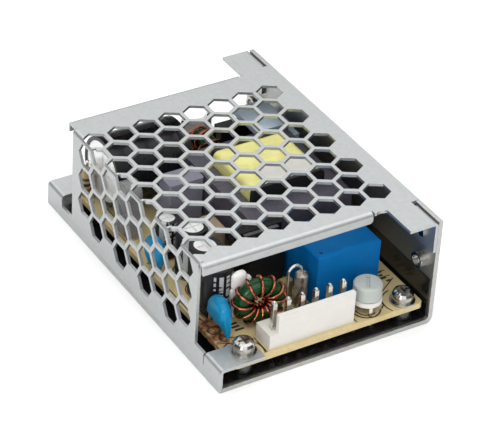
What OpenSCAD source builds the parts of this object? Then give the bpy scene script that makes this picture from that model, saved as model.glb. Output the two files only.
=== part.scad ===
// Battery backup power supply in a two-piece folded case, millimetres
// X runs from the perforated wall to the plain wall, Y from the output end to the input end, Z up

/* [Case] */
// Overall width over both walls
case_w = 62; // [62:0.5:66]
// Overall length, output end to input end
case_l = 90; // [90:0.5:96]
// Overall height
case_h = 31; // [31:0.5:35]
// Base sheet thickness
base_t = 1.2; // [1:0.1:1.3]
// Outside radius of the base fold
base_bend_r = 2; // [1.9:0.1:2.6]
// Cover sheet thickness
cover_t = 0.8; // [0.6:0.1:1]
// Outside radius of the cover folds
cover_bend_r = 1.2; // [1.1:0.1:1.5]
// Gap between the base sheet and the cover sheet
sheet_gap = 0.1; // [0.05:0.05:0.2]
// Length of the base tongue in the left wall
tongue_l = 31.6; // [20:0.2:40]
// Middle of the base tongue along the case
tongue_y = 0.4; // [-2:0.2:2]

/* [Cover edges] */
// Setback of the near top edge and left wall
near_set = 10.3; // [10.2:0.1:11]
// Setback of the near edge of the left wall
wall_near_set = 12.4; // [12.3:0.1:13]
// Setback of the far top edge
far_set = 9.4; // [9.2:0.1:10]
// Setback of the far edge of the left wall
wall_far_set = 13.6; // [12.5:0.1:15]
// Height of the lips at both top edges
lip_h = 2.8; // [2.8:0.1:4]
// Setback of the lips from the left face
lip_relief = 0.2; // [0.1:0.1:0.6]
// Far lip end from the left wall face
far_relief = 1; // [0.9:0.1:1.2]
// Relief slits between neighbouring folds
fold_slit = 0.3; // [0.2:0.05:0.4]
// Rounding of the lower lip corner
lip_corner_r = 1; // [0.6:0.1:1.2]
// Left side of the rounded cut-out in the near edge
cutout_x = 17.4; // [17.2:0.1:17.6]
// Width of the rounded cut-out
cutout_w = 3.9; // [3.6:0.1:4.1]
// Depth of the cut-out behind the near edge
cutout_deep = 0.3; // [0.2:0.1:0.6]
// Setback of the near end of the top tongue
edge_near_set = 10.5; // [10.3:0.1:11]
// Setback of the far end of the top tongue
edge_far_set = 9; // [9:0.1:9.6]
// Length of the screw flanges along the case
flange_l = 8.6; // [8:0.1:8.8]
// Height of the screw flanges
flange_h = 9; // [8:0.1:11]
// Length of the low tabs along the case
tab_l = 7.8; // [7.7:0.1:8.2]
// Reach of the low tabs from the left face
tab_reach = 12.7; // [12.5:0.1:13.5]
// Drop of the low wall between the near tab and the wall
low_drop = 0.2; // [0.1:0.1:0.6]
// Drop of the relief notch beside the far tab
tab_notch = 2.2; // [1.6:0.1:3]

/* [Perforation] */
// Spacing of the holes across the sheet
hex_pitch = 7.38; // [7.3:0.02:7.5]
// Hole width across flats
hex_flat = 6.35; // [5.4:0.05:6.4]
// Number of hole rows
hex_rows = 9; // [3:2:9]
// First row behind the near edge
hex_margin = 8.05; // [7.8:0.05:8.4]
// Sheet kept between the left face and a hole cut into the fold
fold_keep = 0.45; // [0.4:0.05:0.6]
// First hole centre from the left face
hex_lead = 2.89; // [2.75:0.02:3.05]

/* [Board] */
// Standoff height under the board
standoff_h = 3.2; // [3:0.1:4]
// Standoff diameter
standoff_d = 5.2; // [5:0.1:5.6]
// Diameter of the standoff spigot in the base
spigot_d = 4.2; // [3.9:0.1:4.5]
// Clearance round the clinched spigots
spigot_gap = 0.02; // [0.01:0.01:0.05]
// Board thickness
board_t = 1.6; // [1.5:0.1:1.8]
// Left board edge from the left face
board_left = 5; // [4.8:0.1:5.1]
// Right board edge from the right face
board_right = 2.2; // [2:0.1:2.4]
// Board ends from the case ends
board_end = 1.4; // [1.3:0.1:1.6]
// Board corner radius
board_r = 1.2; // [0.5:0.1:2]
// Left screws from the left face
screw_left = 9; // [8.8:0.1:9]
// Right screws from the right face
screw_right = 6.6; // [6.4:0.1:6.8]
// Screws from the case ends
screw_end = 4.4; // [4.3:0.1:4.5]
// Film thickness
film_t = 0.3; // [0.2:0.05:0.4]
// Clearance under the film
film_gap = 0.02; // [0.01:0.01:0.05]
// Gap between the film edge and the wall nuts
film_drop = 1.8; // [1:0.1:5]
// Film setback from the case ends
film_end = 0.9; // [0.6:0.1:2]

/* [Fasteners] */
// Screw thread diameter
screw_d = 3; // [3:0.1:3]
// Radial clearance in threads
thread_gap = 0.05; // [0.03:0.01:0.08]
// Clearance hole diameter in the board and tabs
clear_d = 3.4; // [3.3:0.1:3.6]
// Pan head diameter
head_d = 5.6; // [5.4:0.1:5.8]
// Pan head height
head_h = 2.1; // [1.8:0.1:2.3]
// Flat washer diameter
washer_d = 6.6; // [6.2:0.1:6.8]
// Flat washer thickness
washer_t = 0.5; // [0.4:0.1:0.6]
// Spring washer diameter
spring_d = 5.3; // [5:0.1:5.5]
// Spring washer thickness
spring_t = 0.8; // [0.6:0.1:1]
// Cross recess width
recess_w = 0.8; // [0.6:0.1:1]
// Small cross recess length
cross_l = 2.4; // [2:0.1:2.6]
// Small cross recess width
cross_w = 0.6; // [0.5:0.1:0.7]
// Cover screw thread diameter
cover_screw_d = 2.5; // [2.3:0.1:2.6]
// Cover screw head diameter
cover_head_d = 4.6; // [4.4:0.1:5]
// Cover screw length
cover_screw_l = 2.8; // [2.6:0.1:3]
// Cover screws from the case ends
cover_screw_end = 4.9; // [4.6:0.1:5]
// Cover screws below the top
cover_screw_drop = 5.5; // [5:0.1:6]
// Wall nut diameter
nut_d = 4.4; // [4.2:0.1:4.8]
// Wall nut length inside the wall
nut_l = 2; // [1.8:0.1:2.4]
// Wall nut spigot diameter
nut_spigot_d = 3.9; // [3.8:0.1:4]
// Wall nuts from the case ends
nut_end = 5; // [4.6:0.1:5.4]
// Wall nuts below the top
nut_drop = 14; // [13.6:0.1:14.2]

/* [Headers] */
// Spacing of the header posts
pin_pitch = 3.96; // [3.9:0.02:4]
// Post width
pin_w = 1.14; // [1:0.02:1.2]
// Clearance round the posts
pin_gap = 0.02; // [0.01:0.01:0.04]
// Number of output posts
output_ways = 6; // [5:1:6]
// Middle of the output header
output_x = -3.6; // [-3.8:0.1:-3.4]
// Middle of the input header
input_x = 10.3; // [10.2:0.1:10.6]
// Header front face from the case end
header_set = 2.5; // [2.5:0.1:2.6]
// Header depth
header_w = 6.4; // [6.2:0.1:6.4]
// Header base height
header_h = 4.2; // [3.8:0.1:4.4]
// Header end wall beside the last post
header_end = 2.3; // [2.1:0.1:2.4]
// Height of the tall header wall
header_wall_h = 9.4; // [8.6:0.1:10]
// Thickness of the tall header wall
header_wall_t = 1.2; // [1:0.1:1.4]
// Post row behind the header front face
pin_row = 2.6; // [2.5:0.1:3]
// Post height above the board
pin_up = 12.3; // [11:0.1:13]
// Post length below the board
pin_down = 1.6; // [1.2:0.1:1.8]

/* [Trimmer] */
// Trimmer position across the case
trimmer_x = 14.3; // [14.1:0.1:14.5]
// Trimmer centre from the near end
trimmer_set = 5.7; // [5.6:0.1:5.9]
// Knob diameter
knob_d = 7.4; // [7:0.1:7.6]
// Knob height
knob_h = 4.1; // [3.8:0.1:4.4]
// Gap under the knob
knob_lift = 0.1; // [0.05:0.05:0.2]
// Post diameter in the knob
post_d = 2.4; // [2:0.1:2.8]
// Post length in the knob
post_h = 2.4; // [2:0.1:2.5]
// Running clearance of the knob on the post
run_gap = 0.04; // [0.02:0.01:0.08]
// Base ring diameter
ring_d = 7.8; // [7.6:0.1:8]
// Base ring thickness
ring_t = 1.2; // [1:0.1:1.4]
// Height of the ring above the board
ring_z = 3; // [2.8:0.1:3.2]
// Slot width in the knob
slot_w = 0.8; // [0.6:0.1:1]
// Slot depth in the knob
slot_deep = 0.5; // [0.3:0.1:0.6]
// Knob slot direction at rest
slot_turn = -31; // [-90:1:90]
// Resistive disc diameter
track_d = 5; // [4.6:0.1:5.2]
// Resistive disc thickness
track_t = 0.8; // [0.6:0.1:1]
// Trimmer leg width
leg_w = 0.9; // [0.7:0.1:1]
// Trimmer legs inside the ring edge
leg_inset = 0.8; // [0.8:0.1:1]
// Trimmer leg thickness
leg_t = 0.4; // [0.3:0.05:0.5]

/* [Relay] */
// Relay width
relay_w = 18.4; // [18:0.1:18.8]
// Relay depth
relay_d = 15.4; // [15:0.1:15.6]
// Relay height
relay_h = 15.3; // [14.5:0.1:15.4]
// Relay edge bevel
relay_bevel = 0.6; // [0.3:0.1:0.8]
// Diameter of the vent dimple in the relay top
dimple_d = 1; // [0.8:0.1:1.2]
// Vent dimple from the relay sides
dimple_set = 1.7; // [1.5:0.1:2.4]
// Relay position across the case
relay_x = 12.3; // [12.2:0.05:12.4]
// Relay position along the case
relay_y = -25.6; // [-25.7:0.1:-25.4]

/* [Chokes] */
// Ring radius of the output choke core
ring_r = 4.3; // [4.2:0.05:4.4]
// Section radius of the output choke core
sect_r = 2.1; // [2:0.05:2.15]
// Wire radius
wire_r = 0.4; // [0.34:0.01:0.4]
// Gap between wire and core
wire_gap = 0.04; // [0.03:0.01:0.06]
// Turns on the output choke
turns = 12; // [9:1:12]
// Output choke across the case
choke_x = -12.6; // [-12.8:0.1:-12.4]
// Output choke along the case
choke_y = -31.8; // [-31.9:0.1:-31.7]
// Output choke turned about the vertical
choke_turn = -11.5; // [-13:0.5:-8]
// Lift of the output choke above the board
choke_lift = 0.7; // [0.3:0.1:0.8]
// Lift of the filter choke above the board
filter_lift = 0.7; // [0.3:0.1:0.8]
// Ring radius of the filter choke core
filter_ring_r = 4.6; // [4.4:0.05:4.65]
// Section radius of the filter choke core
filter_sect_r = 2.3; // [2.1:0.05:2.3]
// Turns on the filter choke
filter_turns = 12; // [9:1:12]
// Filter choke across the case
filter_x = 7.2; // [7:0.1:7.4]
// Gap between the transformer and the filter choke
filter_gap = 0.3; // [0.2:0.05:0.35]

/* [Capacitors] */
// Output capacitor diameter
out_cap_d = 8; // [7.6:0.1:8.1]
// Output capacitor height
out_cap_h = 14; // [11:0.5:16]
// Small capacitor diameter
small_cap_d = 6.3; // [5.8:0.1:6.4]
// Small capacitor height
small_cap_h = 11; // [9:0.5:14]
// Sleeve thickness
sleeve_t = 0.2; // [0.15:0.05:0.3]
// Gap between sleeve and can
sleeve_gap = 0.02; // [0.01:0.01:0.04]
// Sleeve overlap on the top rim
sleeve_rim = 0.9; // [0.6:0.1:1.2]
// Depth of the vent score
vent_deep = 0.15; // [0.1:0.05:0.2]
// Height of the crimped groove above the foot
groove_z = 2; // [1.6:0.1:2.4]
// Width of the crimped groove
groove_w = 1.2; // [0.8:0.1:1.6]
// Depth of the crimped groove
groove_deep = 0.4; // [0.2:0.1:0.6]
// Bulk capacitor diameter
bulk_d = 19; // [18:0.1:19.2]
// Bulk capacitor length
bulk_l = 22.3; // [21:0.1:22.5]
// Left end of the bulk capacitor
bulk_x = -22.8; // [-22.8:0.1:-22.5]
// Gap between the transformer and the bulk capacitor
bulk_gap = 0.3; // [0.3:0.05:0.5]
// Lift of the bulk capacitor above the board
bulk_lift = 0.6; // [0.6:0.05:0.8]
// Front disc diameter
disc_d = 8.2; // [7.6:0.1:8.4]
// Front disc thickness
disc_t = 3.4; // [2.8:0.1:3.6]
// Front disc across the case
disc_x = -22.8; // [-23:0.1:-22.7]
// Front disc along the case
disc_y = -30.1; // [-30.2:0.1:-30]
// Lift of the front disc above the board
drop_lift = 2; // [1.6:0.1:2.4]
// Half the lead spacing of the front disc
drop_lead = 4.4; // [4.2:0.1:4.5]
// Thickness of the front disc towards its leads
drop_t = 2; // [1.6:0.1:2.4]
// Mains disc diameter
ydisc_d = 8.4; // [7.6:0.1:8.5]
// Mains disc thickness
ydisc_t = 3.2; // [2.8:0.1:3.3]
// Mains disc across the case
ydisc_x = -24.5; // [-24.6:0.1:-24.4]
// Lift of the discs above the board
disc_lift = 1.6; // [1.2:0.1:2.4]
// Diameter of the coated disc legs
coat_d = 1.2; // [1:0.1:1.4]
// Film capacitor thickness
film_cap_w = 4.4; // [4:0.1:5]
// Film capacitor width along the case
film_cap_l = 6.4; // [6:0.1:7]
// Film capacitor height
film_cap_h = 16; // [11:0.5:17.5]
// Film capacitor lead spacing
film_pitch = 5; // [4.5:0.1:5.2]
// Box capacitor length
box_cap_l = 10; // [9:0.1:10.2]
// Box capacitor thickness
box_cap_w = 6.2; // [5:0.1:6.4]
// Box capacitor height
box_cap_h = 16; // [12:0.5:17]
// Polyester capacitor thickness
poly_w = 4.4; // [3.6:0.1:4.8]
// Polyester capacitor width
poly_l = 8; // [7:0.1:8.2]
// Polyester capacitor height
poly_h = 9; // [7:0.5:11]
// Gap between the box capacitor and the core
box_side = 0.4; // [0.3:0.1:0.8]
// Gap between the polyester capacitor and the core
poly_side = 1.4; // [1.2:0.1:1.7]
// Ceramic capacitor width
ceramic_l = 4; // [3:0.1:4.4]
// Ceramic capacitor thickness
ceramic_w = 2.4; // [2:0.1:2.6]
// Ceramic capacitor height
ceramic_h = 5.5; // [4:0.5:7]

/* [Transformer] */
// Core width
core_w = 30.4; // [29.8:0.1:30.4]
// Core length
core_l = 33.8; // [33:0.1:34]
// Core thickness
core_h = 12; // [11:0.1:12.4]
// Outer leg width
core_leg = 4.2; // [3.6:0.1:4.2]
// Core back width
core_back = 6.4; // [6:0.1:6.6]
// Middle leg diameter
core_mid_d = 11; // [9:0.1:12]
// Parting gap between the core halves
core_gap = 0.1; // [0.05:0.05:0.2]
// Taped winding width
wind_w = 21.4; // [20:0.1:21.4]
// Taped winding height
wind_h = 19.6; // [17:0.1:19.6]
// Rounding of the taped winding
wind_r = 1.5; // [1:0.1:1.7]
// Bobbin flange thickness
flange_t = 1; // [0.8:0.1:1.2]
// Bobbin wall thickness
bobbin_t = 1; // [0.8:0.1:1.2]
// Clearance between core and bobbin
bobbin_gap = 0.2; // [0.1:0.05:0.25]
// Gap between winding and bobbin
wind_gap = 0.02; // [0.01:0.01:0.05]
// Height of the transformer axis above the board
trans_lift = 10; // [10:0.1:10.6]
// Gap between the core and the upright heat sink plate
core_side = 0.4; // [0.3:0.1:0.6]
// Transformer along the case
trans_y = 3.9; // [3.8:0.1:4]
// Width of the pin rails
rail_w = 22; // [20:0.2:22.4]
// Bare label from the transformer middle
label_set = 9; // [8.8:0.1:9.2]
// Bare label length
label_l = 14.2; // [10:0.1:14.4]
// Bare label to the right of the transformer middle
label_shift = 1.9; // [1.7:0.1:2]
// Bare label width
label_w = 7; // [5:0.1:8]
// Bare label thickness
label_t = 0.12; // [0.1:0.02:0.2]

/* [Power parts] */
// Heat sink plate thickness
sink_t = 1.5; // [1.2:0.1:1.6]
// Heat sink height above the board
sink_h = 18; // [18:0.1:20]
// Upright heat sink plate from the right face
sink_set = 3.1; // [2.8:0.1:3.2]
// Near end of the heat sink
sink_y = 15.5; // [15.3:0.1:15.7]
// Length of the heat sink
sink_l = 15.8; // [15.8:0.1:16]
// Width of the heat sink top
sink_top_w = 11.3; // [10:0.1:11.6]
// Cut-back of the heat sink top
sink_cut = 3; // [2:0.1:4]
// Outside radius of the heat sink fold
sink_r = 2; // [1.8:0.1:2.4]
// Output heat sink width
plate_w = 13; // [12:0.1:13.4]
// Output heat sink height
plate_h = 15; // [14.6:0.1:16]
// Rear face of the output heat sink
plate_y = -13.9; // [-14:0.1:-13.8]
// Middle of the output heat sink
plate_x = -3; // [-3.2:0.1:-2.8]
// Package width
pack_w = 10; // [9.6:0.1:10.2]
// Package body thickness
pack_t = 3.2; // [3:0.1:3.4]
// Package body height
pack_h = 8.6; // [8:0.1:9]
// Package tab thickness
pack_tab_t = 1.3; // [1.1:0.1:1.4]
// Package tab height above the body
pack_tab_h = 5.4; // [5:0.1:5.6]
// Lift of the package above the board
pack_lift = 0.8; // [0.4:0.1:1]
// Gap between the transformer and the package on the heat sink
pack_gap = 0.3; // [0.3:0.05:0.4]
// Package screw diameter
pack_screw_d = 2.5; // [2.2:0.1:2.8]
// Bridge rectifier length
bridge_l = 14.4; // [13:0.1:14.4]
// Bridge rectifier thickness
bridge_w = 3.6; // [3:0.1:3.7]
// Bridge rectifier height
bridge_h = 10; // [8:0.5:12]
// Bridge rectifier from the right face
bridge_set = 10; // [9.8:0.1:10.2]
// Gap between the bridge rectifier and the input header
bridge_gap = 0.7; // [0.5:0.1:0.8]
// Fuse tube diameter
fuse_d = 3.6; // [3:0.1:3.8]
// Fuse tube length
fuse_l = 11; // [9:0.1:11.5]
// Fuse cap length
fuse_cap_l = 2.4; // [1.8:0.1:2.8]
// Fuse cap wall thickness
fuse_cap_t = 0.15; // [0.1:0.05:0.2]
// Clearance of the fuse caps round the tube
fuse_gap = 0.02; // [0.01:0.01:0.04]
// Lift of the fuse above the board
fuse_lift = 0.5; // [0.3:0.1:1]
// Fuse from the input end
fuse_end = 4.2; // [4:0.1:4.2]
// Fuse across the case
fuse_x = -9; // [-9.4:0.1:-8.6]
// Standing diode diameter
diode_d = 3.4; // [3:0.1:3.6]
// Standing diode height
diode_h = 9.8; // [9:0.1:10]
// Fusible resistor diameter
fusible_d = 2.9; // [2.6:0.1:3]
// Fusible resistor height
fusible_h = 8; // [6:0.1:9]
// Fusible resistor from the input end
fusible_end = 9; // [9:0.1:9.4]
// Bent lead diameter
bent_d = 0.8; // [0.6:0.05:0.9]
// Loop radius of the bent leads
loop_r = 2; // [1.8:0.05:2.05]
// Optocoupler width
opto_w = 4.6; // [4.4:0.1:4.8]
// Optocoupler length
opto_l = 6.4; // [6:0.1:6.5]
// Optocoupler height
opto_h = 3.5; // [3:0.1:4]
// Silicone bead radius
bead_r = 1.3; // [1:0.1:1.3]
// Silicone bead height
bead_h = 13.5; // [10:0.5:14]
// Lead diameter of the through-hole parts
lead_d = 0.7; // [0.5:0.05:0.8]
// Clearance of the lead holes
lead_gap = 0.1; // [0.05:0.05:0.15]
// Lead length below the board
lead_down = 1.4; // [1:0.1:1.6]

/* [Hidden] */
$fn = 48;
eps = 0.5;
wire_lap = 0.12;
lap_fit = 0.01;

// Case faces
x0 = -case_w / 2;
x1 = case_w / 2;
y0 = -case_l / 2;
y1 = case_l / 2;
// Board levels
board_z = base_t + standoff_h;
top_z = board_z + board_t;
tab_z = top_z + cover_t;
bx0 = x0 + board_left;
bx1 = x1 - board_right;
by0 = y0 + board_end;
by1 = y1 - board_end;
nut_z = case_h - nut_drop;
film_h = nut_z - nut_d / 2 - film_drop;
lead_z = board_z - lead_down;
hole_d = lead_d + 2 * lead_gap;
// Screw places, left pair on the cover tabs and right pair on the board
sx0 = x0 + screw_left;
sx1 = x1 - screw_right;
sy = case_l / 2 - screw_end;
// Cover edges
py0 = y0 + near_set;
py1 = y1 - far_set;
wy0 = y0 + wall_near_set;
wy1 = y1 - wall_far_set;
ex1 = x1 - base_t - sheet_gap;
fx1 = ex1 - cover_bend_r;
ey0 = y0 + edge_near_set;
ey1 = y1 - edge_far_set;
cut_x1 = cutout_x + cutout_w;
hex_r = hex_flat / sqrt(3);
row_pitch = hex_pitch * sqrt(3) / 2;
hex_y = py0 + hex_margin;
// Header places
out_y = y0 + header_set;
in_y = y1 - header_set;
// Trimmer place
trimmer_y = y0 + trimmer_set;
ring_top = top_z + ring_z + ring_t;
// Choke places
choke_z = top_z + choke_lift + ring_r + sect_r;
filter_z = top_z + filter_lift + filter_ring_r + filter_sect_r;
// Upright capacitor places, diameter and height
cap_set = [[-19.2, -22.3, out_cap_d, out_cap_h], [-17.9, -14, out_cap_d, out_cap_h],
    [-16.8, -5.7, out_cap_d, out_cap_h], [-18.4, 4, small_cap_d, small_cap_h]];
disc_z = top_z + drop_lift + disc_d / 2;
ydisc_set = [-1.1];
ydisc_z = top_z + disc_lift + ydisc_d / 2;
film_cap_at = [-22.6, 16];
ceramic_at = [-1.4, -26];
opto_at = [-8.4, -9.4];
bead_at = [-14.9, -26.8];
// Runs of the bead, offset across and along, share of the radius and of the height
bead_runs = [[-1.3, 0.1, 0.8, 0.63], [0, 0, 1, 1], [1.4, -0.2, 1, 0.88]];
diode_at = [0.1, -30.8];
fusible_at = [-24.5, y1 - fusible_end];
fuse_y = y1 - fuse_end;
bridge_at = [x1 - bridge_set, in_y - header_w - bridge_gap - bridge_w / 2];
// Right-hand parts, placed from the right wall
sink_x = x1 - sink_set;
trans_x = sink_x - sink_t - core_side - core_w / 2;
box_cap_at = [trans_x - core_w / 2 - box_side - box_cap_l / 2, 12.1];
poly_at = [trans_x - core_w / 2 - poly_side - poly_w / 2, -1];
// Transformer levels
trans_z = top_z + trans_lift;
bulk_z = top_z + bulk_lift + bulk_d / 2;
bulk_y = trans_y + core_l / 2 + bulk_gap + bulk_d / 2;
filter_y = trans_y + core_l / 2 + filter_gap + filter_ring_r + filter_sect_r + wire_gap + 2 * wire_r;
// Board hole places, x, y and the level where the part begins
cap_leads = [for (c = cap_set) for (s = [-1, 1]) [c[0] + s * c[2] * 0.22, c[1], top_z]];
disc_leads = [for (s = [-1, 1]) [disc_x, disc_y + s * drop_lead, top_z + (s == 1 ? 3 : 1)]];
ydisc_leads = [for (y = ydisc_set) for (s = [-1, 1]) [ydisc_x, y + s * 3.2, top_z + 1]];
film_leads = [for (s = [-1, 1]) [film_cap_at[0], film_cap_at[1] + s * film_pitch / 2, top_z]];
box_leads = [for (s = [-1, 1]) [box_cap_at[0] + s * 3.75, box_cap_at[1], top_z]];
poly_leads = [for (s = [-1, 1]) [poly_at[0], poly_at[1] + s * 2.5, top_z]];
ceramic_leads = [for (s = [-1, 1]) [ceramic_at[0] + s * 1.27, ceramic_at[1], top_z]];
opto_leads = [for (s = [-1, 1]) for (t = [-1, 1])
    [opto_at[0] + s * 1.27, opto_at[1] + t * 2.4, top_z]];
relay_leads = [for (p = [[-6, -6], [6, -6], [0, 6], [-6, 6], [6, 6]])
    [relay_x + p[0], relay_y + p[1], top_z]];
trans_leads = [for (s = [-1, 1]) for (i = [-2:2])
    [trans_x + i * 4.5, trans_y + s * (core_l / 2 - 3.2), top_z]];
bridge_leads = [for (i = [-1.5:1:1.5]) [bridge_at[0] + i * 3.8, bridge_at[1], top_z + 1.5]];
sink_pack_y = trans_y + core_l / 2 + pack_gap + pack_w / 2;
pack_leads = [for (i = [-1:1]) [plate_x + i * 2.54, plate_y - sink_t - pack_tab_t - 0.9,
    top_z + pack_lift]];
sink_leads = [for (i = [-1:1]) [sink_x - sink_t - pack_tab_t - 0.9, sink_pack_y + i * 2.54,
    top_z + pack_lift]];
lead_set = concat(cap_leads, disc_leads, ydisc_leads, film_leads, box_leads, poly_leads,
    ceramic_leads, opto_leads, relay_leads, trans_leads, bridge_leads, pack_leads, sink_leads);
bulk_wire = [for (s = [-1, 1]) [bulk_x + bulk_l + 1.5, bulk_y + s * 3.75]];
fuse_wire = [for (s = [-1, 1]) [fuse_x + s * (fuse_l / 2 + 1), fuse_y]];
diode_wire = [[diode_at[0], diode_at[1]], [diode_at[0] - 2 * loop_r, diode_at[1]]];
fusible_wire = [[fusible_at[0], fusible_at[1]], [fusible_at[0], fusible_at[1] - 2 * loop_r]];
choke_ends = [for (s = [-1, 1]) [choke_x, choke_y] + turned(end_at(ring_r, sect_r, turns, s,
    choke_z - board_z - board_t / 2), choke_turn)];
filter_ends = [for (s = [-1, 1]) [filter_x, filter_y] + turned(end_at(filter_ring_r,
    filter_sect_r, filter_turns, s, filter_z - board_z - board_t / 2), 90)];
out_pins = [for (i = [0:output_ways - 1])
    [output_x + (i - (output_ways - 1) / 2) * pin_pitch, out_y + pin_row]];
in_pins = [for (s = [-1, 1]) [input_x + s * pin_pitch, in_y - pin_row]];
leg_angles = [-100, 20, 140];
leg_r = ring_d / 2 - leg_t / 2 - leg_inset;

// Point at radius r and angle a
function polar(r, a) = [r * cos(a), r * sin(a)];

// Point p turned by a
function turned(p, a) = [p[0] * cos(a) - p[1] * sin(a), p[0] * sin(a) + p[1] * cos(a)];

// Place of a wire end at a depth below a ring that stands on edge
function end_at(r, s, n, side, depth) =
    let (w = s + wire_gap + wire_r, a = polar(r + w, 270), b = polar(r - w, 270 + side * 180 / n),
        c = (a + b) / 2, v = a - b)
    [c[0] - (depth + c[1]) * v[0] / v[1], -side * norm(v) / 2];

// Quarter ring in the first quadrant
module quarter(r, t) {
    intersection() {
        difference() {
            circle(r);
            circle(r - t);
        }
        square(r);
    }
}

// Folded corner running along Y, quadrant turned by a
module fold_y(x, z, ya, yb, r, t, a) {
    translate([x, yb, z])
        rotate([90, 0, 0])
            linear_extrude(yb - ya)
                rotate(a)
                    quarter(r, t);
}

// Folded corner running along X, quadrant turned by a
module fold_x(y, z, xa, xb, r, t, a) {
    translate([xa, y, z])
        rotate([90, 0, 90])
            linear_extrude(xb - xa)
                rotate(a)
                    quarter(r, t);
}

// Rectangle with rounded corners, centred
module round_rect(w, l, r) {
    square([w - 2 * r, l], center = true);
    square([w, l - 2 * r], center = true);
    for (sx = [-1, 1])
        for (sy = [-1, 1])
            translate([sx * (w / 2 - r), sy * (l / 2 - r)])
                circle(r);
}

// Cylinder along X from xa to xb
module rod_x(xa, xb, y, z, d) {
    translate([xa, y, z])
        rotate([0, 90, 0])
            cylinder(d = d, h = xb - xa);
}

// Each board screw place with the level of the surface under its washer
module at_screws() {
    for (s = [-1, 1]) {
        translate([sx0, s * sy, tab_z])
            children();
        translate([sx1, s * sy, top_z])
            children();
    }
}

// Base sheet with its full-height right wall and its left tongue
module base_chassis() {
    color("silver")
        difference() {
            union() {
                translate([x0 + cover_t + sheet_gap, y0, 0])
                    cube([case_w - cover_t - sheet_gap - base_bend_r, case_l, base_t]);
                translate([x0, tongue_y - tongue_l / 2, 0])
                    cube([cover_t + sheet_gap + 2, tongue_l, base_t]);
                fold_y(x1 - base_bend_r, base_bend_r, y0, y1, base_bend_r, base_t, 270);
                translate([x1 - base_t, y0, base_bend_r])
                    cube([base_t, case_l, case_h - base_bend_r]);
            }
            translate([x1 - base_t - eps, ey0 - sheet_gap, case_h - cover_t])
                cube([base_t + 2 * eps, ey1 - ey0 + 2 * sheet_gap, cover_t + eps]);
            for (x = [sx0, sx1])
                for (s = [-1, 1])
                    translate([x, s * sy, -eps])
                        cylinder(d = spigot_d + 2 * spigot_gap, h = base_t + 2 * eps);
            for (s = [-1, 1]) {
                rod_x(x1 - base_t - eps, x1 + eps, s * (y1 - nut_end), nut_z,
                    nut_spigot_d + 2 * spigot_gap);
                translate([x1, s * (y1 - cover_screw_end), case_h - cover_screw_drop])
                    rotate([0, -90, 0])
                        cylinder(d1 = cover_head_d + 2 * thread_gap,
                            d2 = cover_screw_d + 2 * thread_gap, h = base_t);
            }
        }
}

// Holes of one row set in flat sheet coordinates, u from the left face and v along the case
module hex_holes(first, last, wall) {
    for (k = [0:hex_rows - 1])
        for (i = [first:last]) {
            u = hex_lead + hex_pitch * (i - (k % 2) / 2);
            if (wall ? u < -cover_bend_r : u > cover_bend_r)
                translate(wall ? [hex_y + k * row_pitch, case_h + u]
                    : [x0 + u, hex_y + k * row_pitch])
                    rotate(wall ? 0 : 90)
                        circle(hex_r, $fn = 6);
        }
}

// Outline of the cover top with its tabs, its right edge and the cut-out
module top_outline() {
    difference() {
        union() {
            translate([x0 + cover_bend_r, py0 + cover_bend_r])
                square([fx1 - x0 - cover_bend_r, py1 - py0 - 2 * cover_bend_r]);
            translate([fx1 - eps, ey0])
                square([x1 - fx1 + eps, ey1 - ey0]);
            translate([x0 + lip_relief, py0 + cover_bend_r])
                square([2 * cover_bend_r, wall_near_set - near_set - cover_bend_r - fold_slit]);
            translate([x0 + far_relief, wy1 + fold_slit])
                square([2 * cover_bend_r, wall_far_set - far_set - cover_bend_r - fold_slit]);
            translate([cutout_x + fold_slit, py0])
                square([cutout_w, 2 * cover_bend_r]);
            translate([cut_x1, y0])
                square([fx1 - cut_x1, near_set + 2 * cover_bend_r]);
            translate([cut_x1, py1 - 2 * cover_bend_r])
                square([fx1 - cut_x1, far_set + 2 * cover_bend_r]);
        }
        translate([cutout_x + cutout_w / 2, py0 + cutout_deep - cutout_w / 2])
            circle(cutout_w / 2);
        translate([cutout_x, y0 - eps])
            square([cutout_w, near_set + cutout_deep - cutout_w / 2 + eps]);
        hex_holes(0, 7, false);
    }
}

// Left wall with its low ends, tongue notch and holes, x along the case and y up
module wall_outline() {
    difference() {
        union() {
            translate([wy0, 0])
                square([wy1 - wy0, case_h - cover_bend_r]);
            translate([y0 + tab_l + fold_slit, 0])
                square([wall_near_set - tab_l, tab_z - low_drop]);
            translate([y0, 0])
                square([case_l, tab_z - cover_bend_r - tab_notch]);
            translate([y0, 0])
                square([tab_l, tab_z - cover_bend_r]);
            translate([y1 - tab_l, 0])
                square([tab_l, tab_z - cover_bend_r]);
        }
        translate([tongue_y - tongue_l / 2 - sheet_gap, -eps])
            square([tongue_l + 2 * sheet_gap, base_t + sheet_gap + eps]);
        hex_holes(-3, 0, true);
    }
}

// Lip plate hanging from a top edge, from xa to xb with its right corner rounded
module lip(y, xa, xb) {
    translate([0, y + cover_t, 0])
        rotate([90, 0, 0])
            linear_extrude(cover_t) {
                translate([xa, case_h - lip_h + lip_corner_r])
                    square([xb - xa, lip_h - lip_corner_r - cover_bend_r]);
                translate([xa, case_h - lip_h])
                    square([xb - xa - lip_corner_r, lip_corner_r + 0.1]);
                translate([xb - lip_corner_r, case_h - lip_h + lip_corner_r])
                    circle(lip_corner_r);
            }
}

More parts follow.
